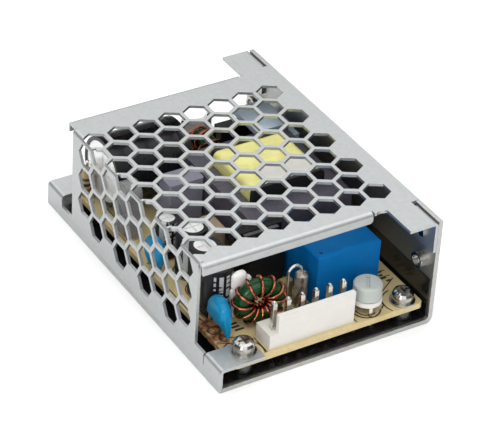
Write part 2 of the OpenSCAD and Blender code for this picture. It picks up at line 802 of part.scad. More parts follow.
// Folded and perforated cover sheet
module top_cover() {
    lip_x0 = x0 + lip_relief;
    color("gainsboro")
        difference() {
            union() {
                translate([0, 0, case_h - cover_t])
                    linear_extrude(cover_t)
                        top_outline();
                translate([x0, 0, 0])
                    rotate([90, 0, 90])
                        linear_extrude(cover_t)
                            wall_outline();
                fold_y(x0 + cover_bend_r, case_h - cover_bend_r, wy0, wy1,
                    cover_bend_r, cover_t, 90);
                fold_x(py0 + cover_bend_r, case_h - cover_bend_r, lip_x0, cutout_x,
                    cover_bend_r, cover_t, 90);
                lip(py0, lip_x0, cutout_x);
                fold_x(py1 - cover_bend_r, case_h - cover_bend_r, x0 + far_relief, cut_x1 - 1,
                    cover_bend_r, cover_t, 0);
                lip(py1 - cover_t, x0 + far_relief, cut_x1 - 1);
                for (ya = [y0, y1 - flange_l]) {
                    fold_y(fx1, case_h - cover_bend_r, ya, ya + flange_l,
                        cover_bend_r, cover_t, 0);
                    translate([ex1 - cover_t, ya, case_h - flange_h])
                        cube([cover_t, flange_l, flange_h - cover_bend_r]);
                }
                for (ya = [y0, y1 - tab_l]) {
                    fold_y(x0 + cover_bend_r, tab_z - cover_bend_r, ya, ya + tab_l,
                        cover_bend_r, cover_t, 90);
                    translate([x0 + cover_bend_r, ya, top_z])
                        cube([tab_reach - cover_bend_r, tab_l, cover_t]);
                }
            }
            for (k = [0:hex_rows - 1])
                translate([x0 + hex_lead - (k % 2) * hex_pitch / 2, hex_y + k * row_pitch,
                    case_h - cover_bend_r])
                    intersection() {
                        rotate(90)
                            cylinder(r = hex_r, h = 2 * cover_bend_r, $fn = 6);
                        translate([k % 2 == 1 ? -hex_pitch : fold_keep - hex_lead, -hex_pitch, 0])
                            cube([3 * hex_pitch, 2 * hex_pitch, hex_pitch]);
                    }
            for (k = [1:2:hex_rows - 1])
                translate([x0 - eps, hex_y + k * row_pitch,
                    case_h + hex_lead - hex_pitch / 2])
                    rotate([90, 0, 90])
                        cylinder(r = hex_r, h = cover_bend_r + eps, $fn = 6);
            for (s = [-1, 1]) {
                translate([sx0, s * sy, top_z - eps])
                    cylinder(d = clear_d, h = cover_t + 2 * eps);
                rod_x(ex1 - cover_t - eps, ex1 + eps, s * (y1 - cover_screw_end),
                    case_h - cover_screw_drop, cover_screw_d + 2 * thread_gap);
            }
        }
}

// Black film over the base and up the right wall
module insulation_film() {
    fy = y0 + film_end;
    color("black")
        difference() {
            union() {
                translate([x0 + cover_t + 1, fy, base_t + film_gap])
                    cube([case_w - cover_t - 1 - base_bend_r, case_l - 2 * film_end, film_t]);
                fold_y(x1 - base_bend_r, base_bend_r, fy, -fy,
                    base_bend_r - base_t - film_gap, film_t, 270);
                translate([x1 - base_t - film_gap - film_t, fy, base_bend_r])
                    cube([film_t, case_l - 2 * film_end, film_h - base_bend_r]);
            }
            for (x = [sx0, sx1])
                for (s = [-1, 1])
                    translate([x, s * sy, base_t - eps])
                        cylinder(d = standoff_d + 0.4, h = film_t + 2 * eps);
        }
}

// Clinched nuts in the right wall
module wall_nuts() {
    color("lightgray")
        for (s = [-1, 1])
            difference() {
                union() {
                    rod_x(x1 - base_t - nut_l, x1 - base_t, s * (y1 - nut_end), nut_z, nut_d);
                    rod_x(x1 - base_t - 0.1, x1, s * (y1 - nut_end), nut_z, nut_spigot_d);
                }
                rod_x(x1 - base_t - nut_l - eps, x1 + eps, s * (y1 - nut_end), nut_z, screw_d);
            }
}

// Clinched standoffs under the board
module board_standoffs() {
    color("lightgray")
        for (x = [sx0, sx1])
            for (s = [-1, 1])
                translate([x, s * sy, 0])
                    difference() {
                        union() {
                            cylinder(d = spigot_d, h = base_t + 0.1);
                            translate([0, 0, base_t])
                                cylinder(d = standoff_d, h = standoff_h);
                        }
                        translate([0, 0, -eps])
                            cylinder(d = screw_d + 2 * thread_gap,
                                h = base_t + standoff_h + 2 * eps);
                    }
}

// Pan head screws with a cross recess
module board_screws() {
    lift = washer_t + spring_t;
    color("lightgray")
        at_screws()
            translate([0, 0, lift])
                difference() {
                    union() {
                        rotate_extrude()
                            polygon([[0, 0], [head_d / 2, 0], [head_d / 2, head_h * 0.5],
                                [head_d / 2 - 0.4, head_h * 0.85],
                                [head_d / 2 - 1.1, head_h], [0, head_h]]);
                        translate([0, 0, -lift - board_t - 3.4])
                            cylinder(d = screw_d, h = lift + board_t + 3.5);
                    }
                    for (a = [0, 90])
                        rotate(a)
                            translate([-1.6, -recess_w / 2, head_h - 1.1])
                                cube([3.2, recess_w, 2]);
                }
}

// Spring washers under the heads
module spring_washers() {
    color("gray")
        at_screws()
            translate([0, 0, washer_t])
                difference() {
                    cylinder(d = spring_d, h = spring_t);
                    translate([0, 0, -eps])
                        cylinder(d = screw_d + 0.2, h = spring_t + 2 * eps);
                    translate([0, -0.25, -eps])
                        cube([spring_d, 0.5, spring_t + 2 * eps]);
                }
}

// Flat washers on the board and tabs
module flat_washers() {
    color("lightgray")
        at_screws()
            difference() {
                cylinder(d = washer_d, h = washer_t);
                translate([0, 0, -eps])
                    cylinder(d = screw_d + 0.2, h = washer_t + 2 * eps);
            }
}

// Countersunk screws through the right wall
module cover_screws() {
    color("lightgray")
        for (s = [-1, 1])
            translate([x1, s * (y1 - cover_screw_end), case_h - cover_screw_drop])
                rotate([0, -90, 0])
                    difference() {
                        union() {
                            cylinder(d1 = cover_head_d, d2 = cover_screw_d, h = base_t);
                            translate([0, 0, base_t - 0.1])
                                cylinder(d = cover_screw_d, h = cover_screw_l - base_t + 0.1);
                        }
                        for (a = [0, 90])
                            rotate(a)
                                translate([-cross_l / 2, -cross_w / 2, -eps])
                                    cube([cross_l, cross_w, eps + 0.7]);
                    }
}

// Board with its screw holes and lead holes
module circuit_board() {
    color("burlywood")
        translate([0, 0, board_z])
            linear_extrude(board_t)
                difference() {
                    translate([(bx0 + bx1) / 2, 0])
                        round_rect(bx1 - bx0, by1 - by0, board_r);
                    for (x = [sx0, sx1])
                        for (s = [-1, 1])
                            translate([x, s * sy])
                                circle(d = clear_d);
                    for (p = lead_set)
                        translate([p[0], p[1]])
                            circle(d = hole_d);
                    for (p = concat(bulk_wire, fuse_wire, diode_wire, fusible_wire,
                        choke_ends, filter_ends))
                        translate(p)
                            circle(d = bent_d + 2 * lead_gap);
                    for (p = concat(out_pins, in_pins))
                        translate(p)
                            circle(d = pin_w * sqrt(2) + 2 * lead_gap);
                    for (a = leg_angles)
                        translate([trimmer_x, trimmer_y])
                            rotate(a)
                                translate([leg_r, 0])
                                    circle(d = leg_w + 2 * lead_gap);
                }
}

// Header with a tall wall that leaves its first post free
module header(x, ways, pins, first) {
    l = (ways - 1) * pin_pitch + 2 * header_end;
    difference() {
        union() {
            translate([x - l / 2, 0, 0])
                cube([l, header_w, header_h]);
            translate([x - l / 2 + first, 0, 0])
                cube([l - first, header_wall_t, header_wall_h]);
        }
        for (p = pins)
            translate([p - pin_w / 2 - pin_gap, pin_row - pin_w / 2 - pin_gap, -eps])
                cube([pin_w + 2 * pin_gap, pin_w + 2 * pin_gap, header_h + 2 * eps]);
    }
}

// Square posts with tapered ends
module posts(places) {
    z = board_z - pin_down;
    for (p = places)
        translate([p[0], p[1], z]) {
            translate([-pin_w / 2, -pin_w / 2, 0])
                cube([pin_w, pin_w, top_z + pin_up - 0.7 - z]);
            translate([0, 0, top_z + pin_up - 0.75 - z])
                rotate(45)
                    cylinder(d1 = pin_w * sqrt(2), d2 = pin_w * 0.7, h = 0.75, $fn = 4);
        }
}

module output_header() {
    color("ivory")
        translate([0, out_y, top_z])
            header(output_x, output_ways, [for (p = out_pins) p[0]], header_end);
}

module output_pins() {
    color("lightgray")
        posts(out_pins);
}

// Mains header turned to face the far end
module input_header() {
    color("ivory")
        translate([0, in_y, top_z])
            mirror([0, 1, 0])
                header(input_x, 3, [for (p = in_pins) p[0]], 0);
}

module input_pins() {
    color("lightgray")
        posts(in_pins);
}

// Trimmer ring with the post that carries the knob
module trimmer_base() {
    color("white")
        translate([trimmer_x, trimmer_y, top_z + ring_z]) {
            cylinder(d = ring_d, h = ring_t);
            cylinder(d = post_d, h = ring_t + post_h);
        }
}

// Resistive disc under the ring
module trimmer_track() {
    color("saddlebrown")
        translate([trimmer_x, trimmer_y, top_z + ring_z - track_t])
            cylinder(d = track_d, h = track_t);
}

// Three metal legs under the ring
module trimmer_legs() {
    color("lightgray")
        for (a = leg_angles)
            translate([trimmer_x, trimmer_y, board_z - lead_down])
                rotate(a)
                    translate([leg_r - leg_t / 2, -leg_w / 2, 0])
                        cube([leg_t, leg_w, top_z + ring_z - board_z + lead_down]);
}

// Turning knob with a driver slot
module trimmer_knob() {
    color("gainsboro", 0.6)
        translate([trimmer_x, trimmer_y, ring_top + knob_lift])
            difference() {
                rotate_extrude()
                    polygon([[0, 0], [knob_d / 2 - 0.2, 0], [knob_d / 2, 0.2],
                        [knob_d / 2, knob_h - 0.4], [knob_d / 2 - 0.4, knob_h], [0, knob_h]]);
                translate([0, 0, -eps])
                    cylinder(d = post_d + 2 * run_gap, h = post_h + eps);
                rotate(slot_turn)
                    translate([-slot_w / 2, -knob_d * 0.3, knob_h - slot_deep])
                        cube([slot_w, knob_d * 0.6, slot_deep + eps]);
            }
}

// Sealed relay with bevelled top edges
module relay() {
    b = relay_bevel;
    color("steelblue")
        translate([relay_x, relay_y, top_z])
            difference() {
                intersection() {
                    translate([0, relay_d / 2, 0])
                        rotate([90, 0, 0])
                            linear_extrude(relay_d)
                                polygon([[-relay_w / 2, 0], [relay_w / 2, 0],
                                    [relay_w / 2, relay_h - b], [relay_w / 2 - b, relay_h],
                                    [b - relay_w / 2, relay_h], [-relay_w / 2, relay_h - b]]);
                    translate([-relay_w / 2, 0, 0])
                        rotate([90, 0, 90])
                            linear_extrude(relay_w)
                                polygon([[-relay_d / 2, 0], [relay_d / 2, 0],
                                    [relay_d / 2, relay_h - b], [relay_d / 2 - b, relay_h],
                                    [b - relay_d / 2, relay_h], [-relay_d / 2, relay_h - b]]);
                }
                translate([dimple_set - relay_w / 2, dimple_set - relay_d / 2, relay_h - dimple_d / 2])
                    cylinder(d = dimple_d, h = dimple_d);
            }
}

// Ring core standing on edge with its axis along Y
module ring_core(r, s) {
    rotate([90, 0, 0])
        rotate_extrude()
            translate([r, 0])
                circle(s);
}

// Half turn of wire from the outer point a to the inner point b, bulging to one side of the ring
module half_turn(a, b, side, whole) {
    c = (a + b) / 2;
    v = a - b;
    translate([c[0], c[1], 0])
        rotate(atan2(v[1], v[0]))
            rotate([side * 90, 0, 0])
                rotate(whole ? 1 : 90)
                    rotate_extrude(angle = whole ? 178 : 89)
                        translate([norm(v) / 2, 0])
                            circle(wire_r);
}

// Joint between two half turns at the point a
module wire_joint(a) {
    translate([a[0], a[1], -wire_lap])
        cylinder(r = wire_r + lap_fit, h = 2 * wire_lap);
}

// Straight end of the wire, from the middle of a half turn to the given depth below the ring
module wire_end(a, b, side, depth) {
    c = (a + b) / 2;
    v = a - b;
    translate([c[0], c[1], side * norm(v) / 2])
        rotate(atan2(v[1], v[0]))
            rotate([0, 90, 0])
                translate([0, 0, -wire_lap])
                    cylinder(r = wire_r + lap_fit,
                        h = wire_lap + (depth + c[1]) * norm(v) / -v[1]);
}

// One wire wound n times round a ring core that stands on edge, both ends down at the foot
module ring_coil(r, s, n, depth) {
    w = s + wire_gap + wire_r;
    step = 360 / n;
    rotate([90, 0, 0])
        union() {
            for (k = [0:n - 1]) {
                a = 270 + k * step;
                half_turn(polar(r + w, a), polar(r - w, a + step / 2), 1, k > 0);
                half_turn(polar(r + w, a + step), polar(r - w, a + step / 2), -1, k < n - 1);
                wire_joint(polar(r - w, a + step / 2));
                if (k > 0)
                    wire_joint(polar(r + w, a));
            }
            wire_end(polar(r + w, 270), polar(r - w, 270 + step / 2), 1, depth);
            wire_end(polar(r + w, 270), polar(r - w, 270 - step / 2), -1, depth);
        }
}

module output_choke_core() {
    color("darkgreen")
        translate([choke_x, choke_y, choke_z])
            rotate(choke_turn)
                ring_core(ring_r, sect_r);
}

module output_choke_winding() {
    color("peru")
        translate([choke_x, choke_y, choke_z])
            rotate(choke_turn)
                ring_coil(ring_r, sect_r, turns, choke_z - lead_z);
}

module filter_choke_core() {
    color("darkgreen")
        translate([filter_x, filter_y, filter_z])
            rotate(90)
                ring_core(filter_ring_r, filter_sect_r);
}

module filter_choke_winding() {
    color("peru")
        translate([filter_x, filter_y, filter_z])
            rotate(90)
                ring_coil(filter_ring_r, filter_sect_r, filter_turns, filter_z - lead_z);
}

// Disc with a round edge and its axis along X
module round_disc(x, y, z, d, t) {
    translate([x, y, z])
        rotate([0, 90, 0])
            rotate_extrude()
                union() {
                    translate([0, -t / 2])
                        square([d / 2 - t / 2, t]);
                    intersection() {
                        translate([d / 2 - t / 2, 0])
                            circle(t / 2);
                        translate([0, -t])
                            square([d, 2 * t]);
                    }
                }
}

// Coated disc standing on two legs
module coated_disc(x, y, z, d, t, spread) {
    round_disc(x, y, z, d, t);
    for (s = [-1, 1])
        translate([x, y + s * spread, top_z + 1])
            cylinder(d1 = coat_d, d2 = coat_d * 1.8, h = z - top_z - 1);
}

// Drop-shaped disc whose coat runs down its near lead
module disc_capacitor() {
    r = disc_d / 2;
    c = coat_d / 2;
    near = top_z + 1 - disc_z;
    far = top_z + 3 - disc_z;
    color("deepskyblue") {
        round_disc(disc_x, disc_y, disc_z, disc_d, disc_t);
        translate([disc_x - drop_t / 2, disc_y, disc_z])
            rotate([90, 0, 90])
                linear_extrude(drop_t) {
                    polygon([[-drop_lead - c, near], [-drop_lead + c, near], [-r * 0.35, -r * 0.9], [0, 0],
                        [-r * 0.97, r * 0.1], [-r * 1.06, -r * 0.3]]);
                    polygon([[drop_lead - c, far], [drop_lead + c, far], [r * 0.97, -r * 0.1], [0, 0],
                        [r * 0.7, -r * 0.66]]);
                }
    }
}

module y_capacitors() {
    color("deepskyblue")
        for (y = ydisc_set)
            coated_disc(ydisc_x, y, ydisc_z, ydisc_d, ydisc_t, 3.2 - coat_d * 0.9);
}

// Round body with the crimped groove above its foot
module crimped(r, h, foot) {
    rotate_extrude()
        polygon([[0, -foot], [r, -foot], [r, groove_z - groove_w / 2],
            [r - groove_deep, groove_z], [r, groove_z + groove_w / 2], [r, h], [0, h]]);
}

// Can with a crossed vent score in its top
module can(d, h) {
    lid = h - sleeve_t - sleeve_gap;
    difference() {
        crimped(d / 2 - sleeve_t - sleeve_gap, lid, 0);
        for (a = [0, 90])
            rotate(a)
                translate([-d * 0.28, -0.15, lid - vent_deep])
                    cube([d * 0.56, 0.3, 1]);
    }
}

// Shrunk sleeve round a can, open over the vent
module sleeve(d, h) {
    difference() {
        crimped(d / 2, h, 0);
        crimped(d / 2 - sleeve_t, h - sleeve_t, eps);
        translate([0, 0, h - 1])
            cylinder(d = d - 2 * sleeve_t - 2 * sleeve_rim, h = 2);
    }
}

module output_cap_cans() {
    color("lightgray")
        for (c = cap_set)
            translate([c[0], c[1], top_z])
                can(c[2], c[3]);
}

module output_cap_sleeves() {
    color("dimgray")
        for (c = cap_set)
            translate([c[0], c[1], top_z])
                sleeve(c[2], c[3]);
}

module bulk_cap_can() {
    color("lightgray")
        translate([bulk_x + bulk_l, bulk_y, bulk_z])
            rotate([0, -90, 0])
                can(bulk_d, bulk_l);
}

module bulk_cap_sleeve() {
    color("black")
        translate([bulk_x + bulk_l, bulk_y, bulk_z])
            rotate([0, -90, 0])
                sleeve(bulk_d, bulk_l);
}

// Dipped film capacitor with a round top
module film_capacitor() {
    r = film_cap_l / 2;
    color("gray")
        translate([film_cap_at[0] - film_cap_w / 2, film_cap_at[1], top_z])
            rotate([90, 0, 90])
                linear_extrude(film_cap_w)
                    union() {
                        translate([-r, 0])
                            square([2 * r, film_cap_h - r]);
                        translate([0, film_cap_h - r])
                            circle(r);
                    }
}

module box_capacitor() {
    color("slategray")
        translate([box_cap_at[0], box_cap_at[1], top_z])
            linear_extrude(box_cap_h)
                round_rect(box_cap_l, box_cap_w, 0.6);
}

module polyester_capacitor() {
    color("tan")
        translate([poly_at[0], poly_at[1], top_z])
            linear_extrude(poly_h)
                round_rect(poly_w, poly_l, 1.4);
}

module ceramic_capacitor() {
    color("olive")
        translate([ceramic_at[0], ceramic_at[1], top_z])
            linear_extrude(ceramic_h)
                round_rect(ceramic_l, ceramic_w, 1);
}

// Two E halves that meet inside the winding
module transformer_core() {
    half = core_l / 2;
    color("dimgray")
        translate([trans_x, trans_y, trans_z])
            for (a = [0, 180])
                rotate(a) {
                    translate([-core_w / 2, -half, -core_h / 2])
                        cube([core_w, core_back, core_h]);
                    for (x = [-core_w / 2, core_w / 2 - core_leg])
                        translate([x, -half, -core_h / 2])
                            cube([core_leg, half - core_gap / 2, core_h]);
                    translate([0, -half + 1, 0])
                        rotate([-90, 0, 0])
                            cylinder(d = core_mid_d, h = half - 1 - core_gap / 2);
                }
}

// Section of the space round the middle leg, extruded along Y
module along_y(ya, yb) {
    translate([trans_x, yb, trans_z])
        rotate([90, 0, 0])
            linear_extrude(yb - ya)
                children();
}

// Bobbin with two flanges and two pin rails
module transformer_bobbin() {
    ya = trans_y - core_l / 2 + core_back + bobbin_gap;
    yb = trans_y + core_l / 2 - core_back - bobbin_gap;
    inner = core_mid_d + 2 * bobbin_gap;
    rail_h = trans_lift - core_h / 2 - 0.1;
    color([0.1, 0.1, 0.1])
        union() {
            for (y = [ya, yb - flange_t])
                along_y(y, y + flange_t)
                    difference() {
                        round_rect(wind_w + 0.2, 2 * trans_lift, wind_r);
                        circle(d = inner);
                    }
            along_y(ya, yb)
                difference() {
                    circle(d = inner + 2 * bobbin_t);
                    circle(d = inner);
                }
            for (y = [trans_y - core_l / 2, yb - flange_t])
                translate([trans_x - rail_w / 2, y, top_z])
                    cube([rail_w, core_back + bobbin_gap + flange_t, rail_h]);
        }
}

// Taped winding between the flanges
module transformer_winding() {
    ya = trans_y - core_l / 2 + core_back + bobbin_gap + flange_t;
    yb = trans_y + core_l / 2 - core_back - bobbin_gap - flange_t;
    color("khaki")
        along_y(ya, yb)
            difference() {
                round_rect(wind_w, wind_h, wind_r);
                circle(d = core_mid_d + 2 * bobbin_gap + 2 * bobbin_t + 2 * wind_gap);
            }
}

// Bare label on the taped winding
module transformer_label() {
    color("white")
        translate([trans_x + label_shift - label_l / 2, trans_y - label_set, trans_z + wind_h / 2])
            cube([label_l, label_w, label_t]);
}

// Bent heat sink, upright plate and top
module heat_sink() {
    color("lightsteelblue")
        difference() {
            union() {
                translate([sink_x - sink_t, sink_y, top_z])
                    cube([sink_t, sink_l, sink_h - sink_r]);
                fold_y(sink_x - sink_r, top_z + sink_h - sink_r, sink_y + sink_cut,
                    sink_y + sink_l, sink_r, sink_t, 0);
                translate([sink_x - sink_top_w, sink_y + sink_cut, top_z + sink_h - sink_t])
                    cube([sink_top_w - sink_r, sink_l - sink_cut, sink_t]);
            }
            rod_x(sink_x - sink_t - eps, sink_x + eps, sink_pack_y,
                top_z + pack_lift + pack_h + pack_tab_h / 2, pack_screw_d + 2 * thread_gap);
        }
}

// Upright plate behind the relay area
module output_heat_sink() {
    color([0.15, 0.15, 0.16])
        difference() {
            translate([plate_x - plate_w / 2, plate_y - sink_t, top_z])
                cube([plate_w, sink_t, plate_h]);
            translate([plate_x, plate_y + eps, top_z + pack_lift + pack_h + pack_tab_h / 2])
                rotate([90, 0, 0])
                    cylinder(d = pack_screw_d + 2 * thread_gap, h = sink_t + 2 * eps);
        }
}

// Both package places, facing minus Y with the tab on the plane y = 0
module at_packs() {
    translate([plate_x, plate_y - sink_t, top_z + pack_lift])
        children();
    translate([sink_x - sink_t, sink_pack_y, top_z + pack_lift])
        rotate(-90)
            children();
}

module power_packages() {
    color([0.08, 0.08, 0.08])
        at_packs()
            translate([-pack_w / 2, -pack_tab_t - pack_t, 0])
                cube([pack_w, pack_t, pack_h]);
}

module package_tabs() {
    color("silver")
        at_packs()
            difference() {
                translate([-pack_w / 2, -pack_tab_t, 0])
                    cube([pack_w, pack_tab_t, pack_h + pack_tab_h]);
                translate([0, eps, pack_h + pack_tab_h / 2])
                    rotate([90, 0, 0])
                        cylinder(d = pack_screw_d + 0.4, h = pack_tab_t + 2 * eps);
            }
}

module package_screws() {
    color("lightgray")
        at_packs()
            translate([0, -pack_tab_t, pack_h + pack_tab_h / 2])
                rotate([90, 0, 0])
                    difference() {
                        union() {
                            cylinder(d = pack_screw_d * 1.8, h = 1.6);
                            translate([0, 0, -pack_tab_t - sink_t])
                                cylinder(d = pack_screw_d, h = pack_tab_t + sink_t + 0.1);
                        }
                        for (a = [0, 90])
                            rotate(a)
                                translate([-cross_l / 2, -cross_w / 2, 0.9])
                                    cube([cross_l, cross_w, 1]);
                    }
}

module bridge_rectifier() {
    color([0.1, 0.1, 0.1])
        translate([bridge_at[0] - bridge_l / 2, bridge_at[1] - bridge_w / 2, top_z + 1.5])
            cube([bridge_l, bridge_w, bridge_h]);
}

// Level of the fuse axis
function fuse_level() = top_z + fuse_lift + fuse_d / 2 + fuse_cap_t;

module input_fuse() {
    color("ivory")
        rod_x(fuse_x - fuse_l / 2, fuse_x + fuse_l / 2, fuse_y, fuse_level(), fuse_d);
}

module fuse_caps() {
    z = fuse_level();
    color("lightgray")
        for (s = [-1, 1])
            translate([fuse_x, fuse_y, z])
                rotate(s == 1 ? 0 : 180)
                    difference() {
                        rod_x(fuse_l / 2 - fuse_cap_l, fuse_l / 2 + 0.2, 0, 0,
                            fuse_d + 2 * fuse_gap + 2 * fuse_cap_t);
                        rod_x(fuse_l / 2 - fuse_cap_l - eps, fuse_l / 2, 0, 0,
                            fuse_d + 2 * fuse_gap);
                    }
}

// Upright axial body with rounded shoulders
module axial_body(d, h) {
    rotate_extrude()
        polygon([[0, 0], [d / 2 - 0.5, 0], [d / 2, 0.5], [d / 2, h - 0.5], [d / 2 - 0.5, h],
            [0, h]]);
}

module standing_diode() {
    color("gray")
        translate([diode_at[0], diode_at[1], top_z + 0.6])
            axial_body(diode_d, diode_h);
}

module fusible_resistor() {
    color("wheat")
        translate([fusible_at[0], fusible_at[1], top_z + 0.6])
            axial_body(fusible_d, fusible_h);
}

// Looped wire of an upright axial part, the loop leaning to minus X
module looped_wire(h) {
    cylinder(d = bent_d, h = top_z + 0.6 - lead_z);
    translate([0, 0, top_z + 0.6 + h - lead_z])
        cylinder(d = bent_d, h = 0.8);
    translate([-loop_r, 0, top_z + 1.4 + h - lead_z])
        rotate([90, 0, 0])
            rotate_extrude(angle = 180)
                translate([loop_r, 0])
                    circle(d = bent_d);
    translate([-2 * loop_r, 0, 0])
        cylinder(d = bent_d, h = top_z + 1.4 + h - lead_z);
}

// Wire that leaves a lying part along X and turns down, s gives the side
module elbow_wire(p, reach, z, s) {
    translate([p[0], p[1], lead_z])
        cylinder(d = bent_d, h = z - lead_z);
    translate([p[0], p[1], z])
        sphere(d = bent_d);
    rod_x(s == 1 ? p[0] - reach : p[0], s == 1 ? p[0] : p[0] + reach, p[1], z, bent_d);
}

module bent_leads() {
    color("lightgray") {
        translate([diode_at[0], diode_at[1], lead_z])
            looped_wire(diode_h);
        translate([fusible_at[0], fusible_at[1], lead_z])
            rotate(90)
                looped_wire(fusible_h);
        for (p = bulk_wire)
            elbow_wire(p, 1.5, bulk_z, 1);
        elbow_wire(fuse_wire[0], 0.8, fuse_level(), -1);
        elbow_wire(fuse_wire[1], 0.8, fuse_level(), 1);
    }
}

module optocoupler() {
    color([0.12, 0.12, 0.12])
        translate([opto_at[0] - opto_w / 2, opto_at[1] - opto_l / 2, top_z])
            cube([opto_w, opto_l, opto_h]);
}

// Bonding bead with a round top
module silicone_bead() {
    color("white")
        for (b = bead_runs)
            translate([bead_at[0] + b[0], bead_at[1] + b[1], top_z]) {
                cylinder(r = bead_r * b[2], h = bead_h * b[3] - bead_r * b[2]);
                translate([0, 0, bead_h * b[3] - bead_r * b[2]])
                    sphere(bead_r * b[2]);
            }
}

module component_leads() {
    color("lightgray")
        for (p = lead_set)
            translate([p[0], p[1], lead_z])
                cylinder(d = lead_d, h = p[2] - lead_z);
}

base_chassis();
top_cover();
insulation_film();
wall_nuts();
board_standoffs();
board_screws();
spring_washers();
flat_washers();
cover_screws();
circuit_board();
output_header();
output_pins();
input_header();
input_pins();
trimmer_base();
trimmer_track();
trimmer_legs();
trimmer_knob();
relay();
output_choke_core();
output_choke_winding();
filter_choke_core();
filter_choke_winding();
disc_capacitor();
y_capacitors();
output_cap_cans();
output_cap_sleeves();
bulk_cap_can();
bulk_cap_sleeve();
film_capacitor();
box_capacitor();
polyester_capacitor();
ceramic_capacitor();
transformer_core();
transformer_bobbin();
transformer_winding();
transformer_label();
heat_sink();
output_heat_sink();
power_packages();
package_tabs();
package_screws();
bridge_rectifier();
input_fuse();
fuse_caps();
standing_diode();
fusible_resistor();
bent_leads();
optocoupler();
silicone_bead();
component_leads();
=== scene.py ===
"""Battery backup power supply: the looks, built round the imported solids.

The frame is in metres. Sizes and places on the part are written in millimetres, and MM turns them
into metres. Texture scales are per metre, angles on a sleeve are in radians and colours are linear.
"""

import math

import bmesh
import bpy
from mathutils import Matrix, Vector, noise


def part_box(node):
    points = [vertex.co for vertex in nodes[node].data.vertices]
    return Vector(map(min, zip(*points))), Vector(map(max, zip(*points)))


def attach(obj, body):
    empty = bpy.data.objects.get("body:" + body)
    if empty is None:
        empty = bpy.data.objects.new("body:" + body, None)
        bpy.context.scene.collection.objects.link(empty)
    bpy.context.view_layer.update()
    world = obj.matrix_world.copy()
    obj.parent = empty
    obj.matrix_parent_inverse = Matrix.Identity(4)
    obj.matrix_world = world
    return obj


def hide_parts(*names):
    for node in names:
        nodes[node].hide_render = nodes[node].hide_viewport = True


MM = 0.001
CASE = "case"

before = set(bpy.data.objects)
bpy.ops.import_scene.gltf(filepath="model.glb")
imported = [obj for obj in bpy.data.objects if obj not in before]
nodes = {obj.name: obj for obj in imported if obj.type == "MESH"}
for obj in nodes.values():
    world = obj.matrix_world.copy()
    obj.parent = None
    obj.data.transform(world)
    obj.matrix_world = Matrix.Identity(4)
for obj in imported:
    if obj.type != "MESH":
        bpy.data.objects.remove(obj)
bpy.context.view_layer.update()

# Camera, fitted to the photograph's view
IMAGE_WIDTH = 494
FOCAL_PIXELS = 2380.38
SENSOR_WIDTH = 36.0
CLIP_START = 0.01
CLIP_END = 20
CAMERA_PLACE = Vector((-269.2187, -418.3686, 363.6938)) * MM
CAMERA_RIGHT = (0.85623106, -0.51402302, 0.05146556)
CAMERA_UP = (0.26110008, 0.51657268, 0.8154627)
CAMERA_BACK = (-0.4457523, -0.68478683, 0.57651702)


def make_camera():
    data = bpy.data.cameras.new("camera")
    data.sensor_fit = "HORIZONTAL"
    data.sensor_width = SENSOR_WIDTH
    data.lens = FOCAL_PIXELS / IMAGE_WIDTH * SENSOR_WIDTH
    data.clip_start = CLIP_START
    data.clip_end = CLIP_END
    camera = bpy.data.objects.new("camera", data)
    bpy.context.scene.collection.objects.link(camera)
    turn = Matrix((CAMERA_RIGHT, CAMERA_UP, CAMERA_BACK)).transposed()
    camera.matrix_world = Matrix.Translation(CAMERA_PLACE) @ turn.to_4x4()
    bpy.context.scene.camera = camera


make_camera()


# Places read from the frame
WELD = 0.002 * MM


def islands(node):
    """Vertex places of each separate solid in a node."""
    mesh = nodes[node].data
    home = list(range(len(mesh.vertices)))

    def root(i):
        while home[i] != i:
            home[i] = home[home[i]]
            i = home[i]
        return i

    same = {}
    for v in mesh.vertices:
        key = tuple(round(c / WELD) for c in v.co)
        first = same.setdefault(key, v.index)
        home[root(v.index)] = root(first)
    for edge in mesh.edges:
        a, b = edge.vertices
        home[root(a)] = root(b)
    groups = {}
    for v in mesh.vertices:
        groups.setdefault(root(v.index), []).append(v.co)
    return list(groups.values())


def middle(points):
    """Middle x, middle y and half width of some points."""
    xs, ys = [p.x for p in points], [p.y for p in points]
    return (min(xs) + max(xs)) / 2, (min(ys) + max(ys)) / 2, (max(xs) - min(xs)) / 2


def in_mm(values):
    return tuple(value / MM for value in values)


def round_solids(node):
    """Middle and half width of each solid in a node, front to back and left to right."""
    found = [in_mm(middle(group)) for group in islands(node)]
    return sorted(found, key=lambda place: (round(place[1]), place[0]))


OUTPUT_CAPS = round_solids("output_cap_cans")
BOARD_SCREWS = round_solids("board_screws")
BOARD_LOW, BOARD_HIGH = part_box("circuit_board")

# Shader helpers
MIX_A, MIX_B, MIX_OUT = 6, 7, 2  # the Mix node's colour sockets
LIMIT_SOFT = 0.03 * MM


